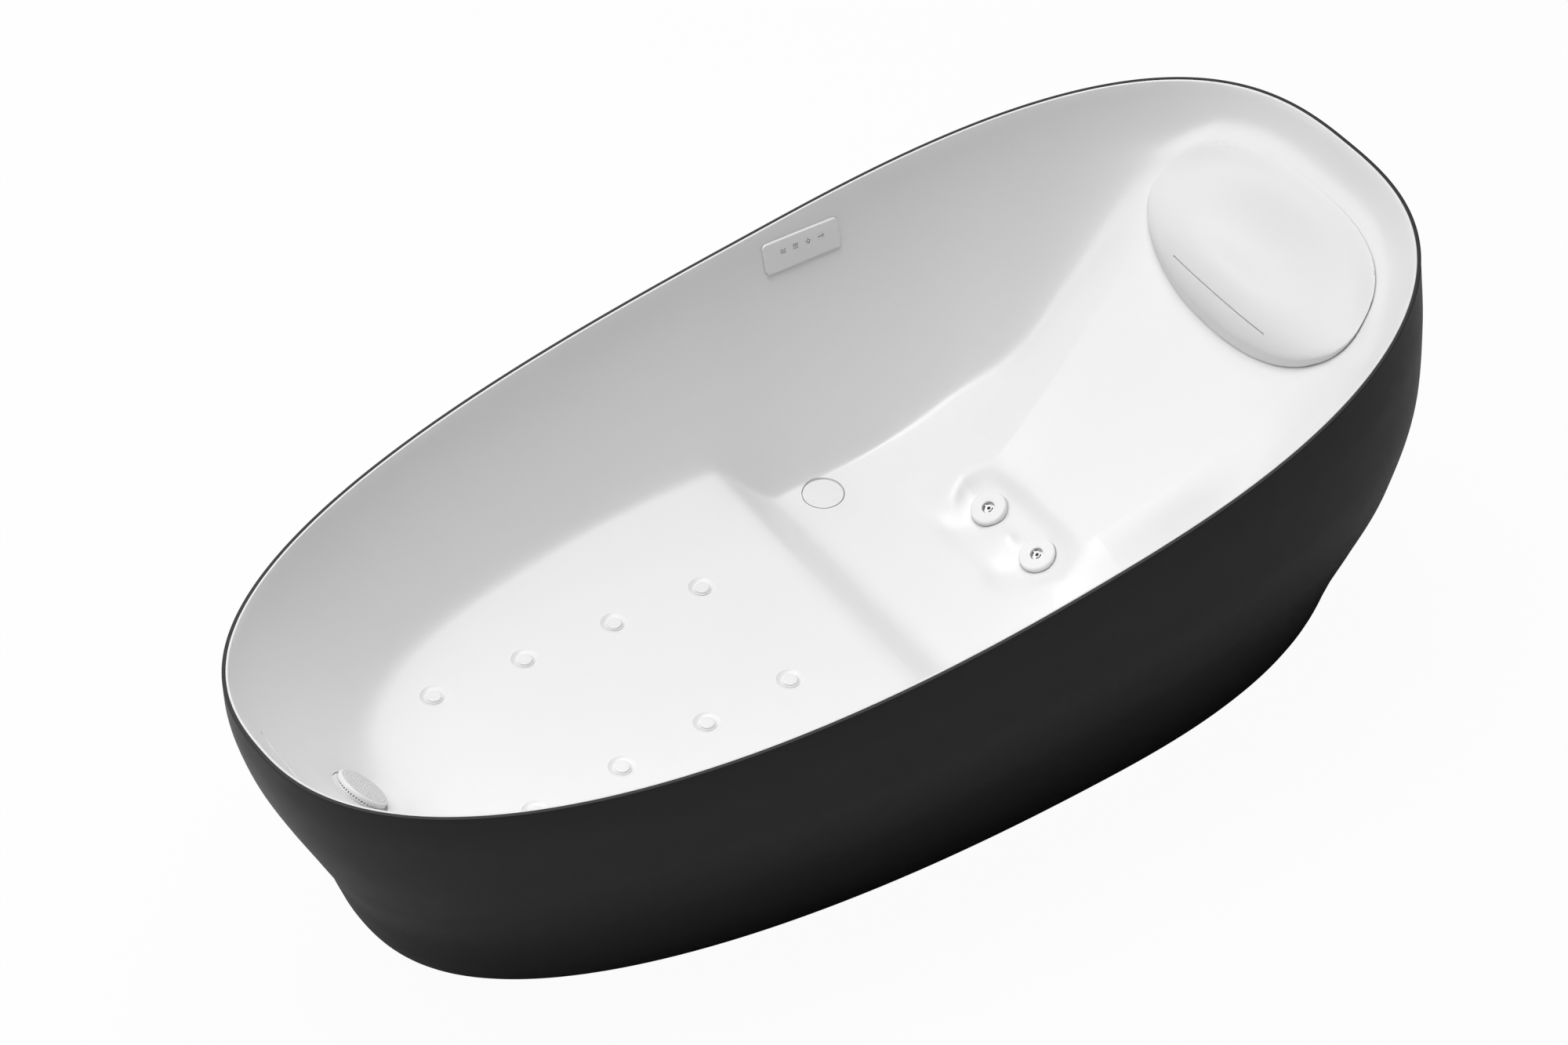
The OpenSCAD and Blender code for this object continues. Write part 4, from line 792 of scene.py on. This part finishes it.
def pillowPlan(angle, r):
    power = pillow["cornerPower"]
    u = signedPower(np.cos(angle), power)
    return (pillowX + pillow["width"] / 2 * u * r,
            pillow["length"] / 2 * (1 - pillow["taper"] * u) * signedPower(np.sin(angle), power) * r)


def pillowTop(x, y):
    crown = basinHeight(pillowFront, 0.0) + pillow["height"] + pillow["slope"] * (x - pillowFront)
    return softMax(crown, basinHeight(x, y) + 8, 6)


def pillowSkin(angle, r):
    x, y = pillowPlan(angle, r)
    roundOff = max(0, (r - 0.5) / 0.5)
    low = basinHeight(x, y) + 2
    top = pillowTop(x, y) - pillow["dish"] * max(0, 1 - 1.9 * r * r) ** 2
    wall = pillow["wall"]
    return x, y, low + (top - low) * (wall + (1 - wall) * math.sqrt(max(0, 1 - roundOff ** 2.4)))


# The faces left of the outer skin keep its shading, so that no cut shows as a crease round it
def keepShading(piece, skin):
    data = piece.data
    shadeTo(data, 50)
    tree = BVHTree.FromPolygons([v.co for v in skin.vertices], [p.vertices for p in skin.polygons])
    smooth = [n.vector.copy() for n in skin.vertex_normals]
    normals = [n.vector.copy() for n in data.corner_normals]
    for face in data.polygons:
        for k in face.loop_indices:
            spot = data.vertices[data.loops[k].vertex_index].co
            hit, flat, index, gap = tree.find_nearest(spot)
            if gap < 2e-5 and flat.dot(face.normal) > 0.9:
                corners = skin.polygons[index].vertices
                near = [smooth[c] / ((skin.vertices[c].co - hit).length + 1e-6) for c in corners]
                normals[k] = sum(near, Vector()).normalized()
    data.normals_split_custom_set(normals)
    bpy.data.meshes.remove(skin)


def makePillow():
    angle = np.arange(pillow["around"]) * 2 * math.pi / pillow["around"]
    lean = pillow["bulge"] * np.maximum(0, -np.cos(angle))
    rings = []
    for r, lift in zip((0.001, 0.2, 0.4, 0.58, 0.75, 0.86, 0.93, 0.96), (2, 2, 2, 3, 4, 5.4, 6.4, 7)):
        x, y = pillowPlan(angle, r)
        rings.append(np.stack([x, y, basinHeight(x, y) + lift], -1))
    edgeX, edgeY, edgeZ = pillowSkin(angle, 1.0)
    low = basinHeight(edgeX, edgeY) + 5
    for up in np.linspace(0.05, 1, 14):
        rings.append(np.stack([edgeX - lean * up, edgeY, low + (edgeZ - low) * up], -1))
    for r in 1 - np.linspace(0, 1, 46)[1:-1] ** 2.2:
        x, y, z = pillowSkin(angle, r)
        rings.append(np.stack([x - lean * r ** 8, y, z], -1))
    x, y, z = pillowSkin(angle, 0.001)
    rings.append(np.stack([x, y, z], -1))
    piece = meshFrom("headrestCushion", np.concatenate(rings), tubeFaces(len(rings), pillow["around"]),
                     material["pillow_white"])
    skin = piece.data.copy()
    spoutX = fittings["spoutX"]
    cuts = ((pillowFront - 30, pillowFront + 20, pillow["slot"]),
            (pillowFront + 19.7, spoutX - 7.5, pillow["spout"]), (spoutX - 20, spoutX + 12.5, pillow["inlet"]))
    for fromX, toX, (width, half) in cuts:
        cut = slab("slot", toX - fromX, width, 1.0, [(0, -half), (0, half)],
                   uprightPlace((fromX + toX) / 2, 0, spoutZ), perCorner=3)
        combine(piece, cut, "DIFFERENCE")
    bore = pillow["spoutBore"]
    under = [plug(uprightPlace(spoutX, 0, 0), [(bore, 440), (bore, spoutZ - 1)])]
    bore = pillow["pegBore"]
    under += [plug(uprightPlace(pegX, side * pegY, 0), [(bore, 420), (bore, pegZ + 30)]) for side in (-1, 1)]
    combine(piece, joined("under", under), "DIFFERENCE")
    keepShading(piece, skin)
    return piece


headrest = makePillow()
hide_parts("headrest_pillow")
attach(headrest, "pillow")
print("pillow", len(headrest.data.polygons))


# Repeated pieces by Geometry Nodes: one shape on every point, turned as the point says
def makeScatterTree():
    tree = bpy.data.node_groups.new("shapeOnPoints", "GeometryNodeTree")
    for label, kind in (("Points", "Geometry"), ("Shape", "Object"), ("Finish", "Material")):
        tree.interface.new_socket(label, in_out="INPUT", socket_type="NodeSocket" + kind)
    tree.interface.new_socket("Geometry", in_out="OUTPUT", socket_type="NodeSocketGeometry")
    start, end, shape, turn, rotation, place, real, paint = (tree.nodes.new(kind) for kind in (
        "NodeGroupInput", "NodeGroupOutput", "GeometryNodeObjectInfo", "GeometryNodeInputNamedAttribute",
        "FunctionNodeEulerToRotation", "GeometryNodeInstanceOnPoints", "GeometryNodeRealizeInstances",
        "GeometryNodeSetMaterial"))
    shape.inputs["As Instance"].default_value = True
    turn.data_type = "FLOAT_VECTOR"
    turn.inputs["Name"].default_value = "turn"
    for source, output, target, label in (
            (start, "Points", place, "Points"), (start, "Shape", shape, "Object"),
            (shape, "Geometry", place, "Instance"), (turn, "Attribute", rotation, 0),
            (rotation, 0, place, "Rotation"), (start, "Finish", paint, "Material"),
            (place, "Instances", real, "Geometry"), (real, "Geometry", paint, "Geometry"),
            (paint, "Geometry", end, "Geometry")):
        tree.links.new(source.outputs[output], target.inputs[label])
    return tree


scatterTree = makeScatterTree()


def onPoints(name, shape, places, finish):
    data = bpy.data.meshes.new(name + "Points")
    data.from_pydata([tuple(p.to_translation()) for p in places], [], [])
    turn = data.attributes.new("turn", "FLOAT_VECTOR", "POINT")
    for k, p in enumerate(places):
        turn.data[k].vector = p.to_euler()
    carrier = placed(name + "Carrier", data)
    spread = carrier.modifiers.new("spread", "NODES")
    spread.node_group = scatterTree
    values = {"Shape": shape, "Finish": finish}
    for item in scatterTree.interface.items_tree:
        if item.in_out == "INPUT" and item.name in values:
            spread[item.identifier] = values[item.name]
    result = evaluated(carrier)
    bpy.data.objects.remove(carrier)
    bpy.data.objects.remove(shape)
    if "turn" in result.attributes:
        result.attributes.remove(result.attributes["turn"])
    return placed(name, result)


# A closed ring of revolution, for parts with a bore
def turnedRing(name, corners, place, finish, around=96, smoothAngle=35):
    closed = corners + corners[:2]
    profile = []
    for k in range(len(corners)):
        profile += roundedProfile(closed[k:k + 3])[1:-1]
    faces = ringFaces(len(profile), around, closed=True)
    return meshFrom(name, spun(profile, around), faces, finish, place, merge=0.004, sharp=smoothAngle)


origin = Matrix.Identity(4)

# Air jet caps: a low button with a rounded edge in each dished seat
jetCap = {"stem": 6.7, "stemLow": -12, "radius": 13.3, "low": -2.1, "height": 1.0, "bevel": 1.8}


def makeJetCaps():
    r, low, top = jetCap["radius"], jetCap["low"], jetCap["height"]
    stem, stemLow = jetCap["stem"], jetCap["stemLow"]
    cap = turned("capShape", [(0, stemLow, 0), (stem, stemLow, 0.3), (stem, low, 0), (r, low, 0.4),
                              (r, -0.4, 0.4), (r - jetCap["bevel"], top, 0.9), (0, top, 0)],
                 origin, white, around=64)
    return onPoints("jetCaps", cap, [surfacePlace(*spot) for spot in jetSpots], white)


jetCaps = makeJetCaps()
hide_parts("air_jet_caps")
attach(jetCaps, "tub")
print("jet caps")


# Lumbar jets: white ring that turns, silver nozzle with arc slots and a small outlet
lumbar = {"ring": 33.0, "ringTop": 13.8, "bore": 11.5, "sleeve": (15.5, 17.9), "sleeveLow": -12,
          "nozzle": 10.9, "nozzleTop": 9.5, "outlet": 2.5, "flange": 15, "flangeLow": -14, "stem": 5,
          "stemLow": -31.5, "arc": (6.3, 9.3), "arcSpan": 100}


def arcCutter(inner, outer, start, end, low, high, place, count=14):
    angles = np.radians(np.linspace(start, end, count))
    outline = [(outer * math.cos(a), outer * math.sin(a)) for a in angles]
    outline += [(inner * math.cos(a), inner * math.sin(a)) for a in angles[::-1]]
    points = [(*p, z) for z in (low, high) for p in outline]
    return meshFrom("arc", points, tubeFaces(2, len(outline)), place=place)


def makeLumbarRing(side):
    ring, bore, top, low = lumbar["ring"], lumbar["bore"], lumbar["ringTop"], lumbar["sleeveLow"]
    inner, outer = lumbar["sleeve"]
    return turnedRing("lumbarRing_" + side, [
        (bore, 4.3, 0.2), (bore, top - 1.4, 0.5), (bore + 2.6, top - 0.2, 1.0), (ring - 2.8, top, 1.3),
        (ring, top - 2.0, 1.2), (ring, 3.8, 0.4), (outer, 3.8, 0.2), (outer, low, 0.3), (inner, low, 0.3),
        (inner, 4.3, 0.1)], lumbarPlaces[side], white)


def makeNozzle(side):
    place = lumbarPlaces[side]
    outlet, nozzle, top = lumbar["outlet"], lumbar["nozzle"], lumbar["nozzleTop"]
    flange, flangeLow = lumbar["flange"], lumbar["flangeLow"]
    stem, stemLow = lumbar["stem"], lumbar["stemLow"]
    piece = turnedRing("lumbarNozzle_" + side, [
        (outlet, stemLow, 0.3), (outlet, top - 0.9, 0.5), (outlet + 1.6, top, 0.8), (9.7, top, 0.8),
        (nozzle, top - 1.2, 0.6), (nozzle, 3.5, 0.3), (flange, 3.5, 0.3), (flange, flangeLow, 0.3),
        (stem, flangeLow, 0.3), (stem, stemLow, 0.3)], place, material["nozzle_silver"])
    arcs = [arcCutter(*lumbar["arc"], start, start + lumbar["arcSpan"], 2, 14, place)
            for start in (40, 160, 280)]
    combine(piece, joined("arcs", arcs), "DIFFERENCE")
    ports = []
    for angle in (0, 120, 240):
        spot = place @ Matrix.Rotation(math.radians(angle), 4, "Z") @ Matrix.Translation((0.0115, 0, 0))
        ports.append(plug(spot, [(2, -15), (2, 1.5)], 24))
    combine(piece, joined("ports", ports), "DIFFERENCE")
    shadeTo(piece.data)
    return piece


for side in ("left", "right"):
    ringPiece = makeLumbarRing(side)
    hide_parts("lumbar_face_" + side)
    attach(ringPiece, "lumbar_ring_" + side)
    nozzlePiece = makeNozzle(side)
    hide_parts("lumbar_nozzle_" + side)
    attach(nozzlePiece, "lumbar_tip_" + side)
print("lumbar jets")


# Suction cover: low dome with rings of small holes and a row of side openings
suction = {"radius": 47.0, "top": 19.0, "fall": 2.2, "fallPower": 3.2, "holeRings": 9, "holeRadius": 1.6,
           "holeSpacing": 4.4, "firstRing": 4.6, "ringPitch": 4.55, "sideHoles": 54, "sideWidth": 2.9}


def domeHeight(r):
    return suction["top"] - suction["fall"] * (r / suction["radius"]) ** suction["fallPower"]


def makeSuctionCover():
    edge = suction["radius"]
    outer = [(r, domeHeight(r), 0) for r in (0.8, 8, 16, 24, 31, 37, 41.8)]
    profile = [(0.8, 16.6, 0), (20, 16.4, 0), (33, 15.8, 1), (41, 14.6, 2), (edge - 2.2, 13.0, 1),
               (edge - 2.2, 4.2, 0.5), (21, 4.2, 0.4), (21, -13, 0.4), (23.9, -13, 0.4), (23.9, 2.6, 0.3),
               (edge - 0.6, 2.6, 0.4), (edge, 3.3, 0.4), (edge, 14.6, 1.8), (edge - 2.0, 16.6, 1.2)]
    piece = turnedRing("suctionGrille", profile + outer[::-1], origin, white, around=180, smoothAngle=40)
    spots = []
    for ring in range(suction["holeRings"]):
        r = suction["firstRing"] + ring * suction["ringPitch"]
        number = int(round(2 * math.pi * r / suction["holeSpacing"]))
        for k in range(number):
            a = 2 * math.pi * (k + 0.5 * (ring % 2)) / number
            spots.append(uprightPlace(r * math.cos(a), r * math.sin(a), 13.0))
    pin = plug(origin, [(suction["holeRadius"], 0), (suction["holeRadius"], 9)], 10)
    combine(piece, onPoints("holes", pin, spots, white), "DIFFERENCE")
    slots = []
    for k in range(suction["sideHoles"]):
        turn = Matrix.Rotation(2 * math.pi * k / suction["sideHoles"], 4, "Z")
        slots.append(turn @ Matrix.Translation((edge / 1000 - 0.0005, 0, 0.0079)))
    window = slab("windowShape", 8, suction["sideWidth"], 0.9, [(0, -1.5), (0, 1.5)], origin, perCorner=3)
    combine(piece, onPoints("windows", window, slots, white), "DIFFERENCE")
    piece.data.transform(suctionPlace)
    shadeTo(piece.data)
    return piece


suctionGrille = makeSuctionCover()
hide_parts("suction_cover")
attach(suctionGrille, "suction_lid")
print("suction cover", len(suctionGrille.data.polygons))


# Drain cover: flush button with a softened edge, on its push stem
drain = {"radius": 36.8, "edge": 0.9, "low": -4, "stem": 4, "stemLow": -42}


def makeDrainCap():
    r, edge, low, stem, stemLow = drain.values()
    return turned("drainCap", [(0, stemLow, 0), (stem, stemLow, 0.5), (stem, low, 0), (r - 0.4, low, 0.3),
                               (r, -3.4, 0.3), (r, -0.4, edge * 0.3), (r - edge, 0, 0.8), (0, 0, 0)],
                  drainPlace, white, around=128)


drainCap = makeDrainCap()
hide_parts("drain_cover")
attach(drainCap, "drain_lid")
print("drain cover")


# Control panel: rounded plate with four keys and plain symbols
panel = {"corner": 9.0, "edge": 2.4, "under": 1.7, "wall": 7.0, "top": 2.6, "key": 12.0, "keyGap": 0.3,
         "keyPitch": 26.0, "keyRow": -6.0, "mat": (20.0, 100.0), "mark": 1.35, "stroke": 0.55}


def panelSpot(along, across, height):
    return panelPlace @ uprightPlace(along, across, height)


def makePanel():
    edge, proud, row = panel["edge"], fittings["panelProud"], panel["keyRow"]
    length, width = fittings["panelLength"], fittings["panelWidth"]
    grey = material["key_grey"]
    rounding = [(edge * (1 - math.cos(a)), proud - edge * (1 - math.sin(a)))
                for a in np.radians([0, 18, 36, 54, 72, 90])]
    steps = [(0, -panel["under"])] + rounding
    plate = slab("panelPlate", width, length, panel["corner"], steps, panelPlace, white)
    hollow = slab("hollow", width - 2 * panel["wall"], length - 2 * panel["wall"], 3,
                  [(0, -3), (0, proud - panel["top"])], panelPlace)
    combine(plate, hollow, "DIFFERENCE")
    size = panel["key"] + panel["keyGap"]
    opening = slab("opening", size, size, 2, [(0, -1), (0, proud + 2)], origin, perCorner=5)
    spots = [panelSpot(row, (k - 1.5) * panel["keyPitch"], 0) for k in range(4)]
    combine(plate, onPoints("openings", opening, spots, white), "DIFFERENCE")
    plate.data.set_sharp_from_angle(angle=math.radians(35))
    key = slab("keyShape", panel["key"], panel["key"], 1.8, [(0, proud - 3.4), (0, proud)], origin, perCorner=5)
    mat = slab("keyMat", *panel["mat"], 2, [(0, proud - 3.8), (0, proud - 3.0)], panelSpot(row, 0, 0), grey)
    return plate, joined("panelKeyTops", [onPoints("panelKeyTops", key, spots, grey), mat])


def circle(cx, cy, r):
    return [(cx + r * math.cos(a), cy + r * math.sin(a)) for a in np.linspace(0, 2 * math.pi, 21)]


def wave(x):
    return [(x + 0.5 * math.sin(y * 2.2), y) for y in np.linspace(-1.0, 3.8, 21)]


# Symbols printed on the keys: a seat, rising air, a lamp and a tap, some with a short mark beside them
symbols = [
    [[(-3.8, 1.6), (0.8, 1.6), (0.8, -0.6), (-3.8, -0.6)], [(-3.0, -2.6), (2.4, -2.6)],
     [(3.0, -3.6), (3.0, 3.0)]],
    [wave(-2.4), wave(0.0), wave(2.4), [(-3.6, -2.9), (3.6, -2.9)]],
    [circle(0, 0, 1.9), [(0, 2.9), (0, 4.2)], [(-1.8, -3.2), (1.8, -3.2)], [(2.9, 0), (4.2, 0)],
     [(-2.9, 0), (-4.2, 0)]],
    [circle(2.4, 0, 1.5), [(0.9, 0), (-4.0, -0.4)], [(-4.0, -0.4), (-2.6, 0.9)]],
]


def makeSymbols():
    points, faces = [], []
    height, width = fittings["panelProud"], panel["stroke"]
    for k, strokes in enumerate(symbols):
        middle = (k - 1.5) * panel["keyPitch"]
        for stroke in strokes:
            line = np.array(stroke) * panel["mark"]
            heading = np.gradient(line, axis=0)
            heading /= np.maximum(np.linalg.norm(heading, axis=1, keepdims=True), 1e-9)
            across = np.column_stack([-heading[:, 1], heading[:, 0]]) * width
            first = len(points)
            for pair in zip(line - across, line + across):
                points += [(-q[1] + panel["keyRow"], q[0] + middle, height + z)
                           for q in pair for z in (-0.1, 0.06)]
            last = len(points) - 4
            for a in range(first, last, 4):
                b = a + 4
                faces += [(a + 1, a + 3, b + 3, b + 1), (a, b, b + 2, a + 2), (a, a + 1, b + 1, b),
                          (a + 2, b + 2, b + 3, a + 3)]
            faces += [(first, first + 2, first + 3, first + 1), (last, last + 1, last + 3, last + 2)]
    return meshFrom("panelSymbols", points, faces, material["print_grey"], panelPlace, smooth=False)


panelPlate, panelKeys = makePanel()
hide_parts("panel_plate")
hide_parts("panel_keys")
panelSymbols = makeSymbols()
for piece, slotName in ((panelPlate, "plastic_white"), (panelKeys, "key_grey"), (panelSymbols, "key_grey")):
    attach(piece, "tub")
print("panel")


# CAD nodes that stay get the finish of their slot
shown = 0
slotOf = {row["node"]: row["material_slot"] for row in frame["record"].get("assets", [])
          if "material_slot" in row}
for name, piece in nodes.items():
    for place in piece.material_slots:
        plain = place.material.name.split(".")[0] if place.material else ""
        finish = material.get(slotOf.get(name, plain)) or material.get(plain)
        if finish:
            place.material = finish
            shown += 1
print("finished CAD slots", shown, "of", len(nodes))


# Floor, lamps and sky
studio = {"floorHalf": 14.0, "floorWhite": 0.8, "floorGlow": 0.96, "sky": 0.02, "skyWhite": 0.97,
          "lampSize": 3.0, "lampTarget": (0.1, 0, 0.3)}
lamps = {"overhead": (152.0, (0.2, 0.6, 5.0)), "foot": (70.0, (-3.0, 0.8, 4.0)),
         "farFoot": (36.0, (-1.5, 3.4, 3.6)), "farHead": (24.0, (1.5, 3.4, 3.6))}


# A share that counts only where the camera looks straight at a surface or the sky
def seenShare(tree, share):
    rays = tree.nodes.new("ShaderNodeLightPath")
    return mathNode(tree, "MULTIPLY", rays.outputs["Is Camera Ray"], share)


def makeFloor():
    data = bpy.data.meshes.new("floor")
    r = studio["floorHalf"]
    data.from_pydata([(-r, -r, 0), (r, -r, 0), (r, r, 0), (-r, r, 0)], [], [(0, 1, 2, 3)])
    floor = placed("floor", data)
    look = bpy.data.materials.new("floorWhite")
    look.use_nodes = True
    tree = look.node_tree
    tree.nodes.remove(tree.nodes["Principled BSDF"])
    matte = newNode(tree, "ShaderNodeBsdfDiffuse", {"Color": (studio["floorWhite"],) * 3 + (1,)})
    glow = tree.nodes.new("ShaderNodeEmission")
    mix = newNode(tree, "ShaderNodeMixShader", {
        0: seenShare(tree, studio["floorGlow"]), 1: matte.outputs[0], 2: glow.outputs[0]})
    feed(tree, tree.nodes["Material Output"].inputs, {"Surface": mix.outputs[0]})
    data.materials.append(look)


def makeLamp(name, energy, place):
    data = bpy.data.lights.new(name, "AREA")
    data.energy = energy
    data.size = studio["lampSize"]
    lamp = placed(name, data)
    toward = Vector(studio["lampTarget"]) - Vector(place)
    lamp.rotation_euler = toward.to_track_quat("-Z", "Y").to_euler()
    lamp.location = place


def makeSky():
    world = bpy.data.worlds.new("sky")
    world.use_nodes = True
    scene.world = world
    tree = world.node_tree
    level = mathNode(tree, "ADD", seenShare(tree, studio["skyWhite"] - studio["sky"]), studio["sky"])
    feed(tree, tree.nodes["Background"].inputs, {"Color": (1, 1, 1, 1), "Strength": level})


makeFloor()
for name, (energy, place) in lamps.items():
    makeLamp(name, energy, place)
makeSky()
print("studio")
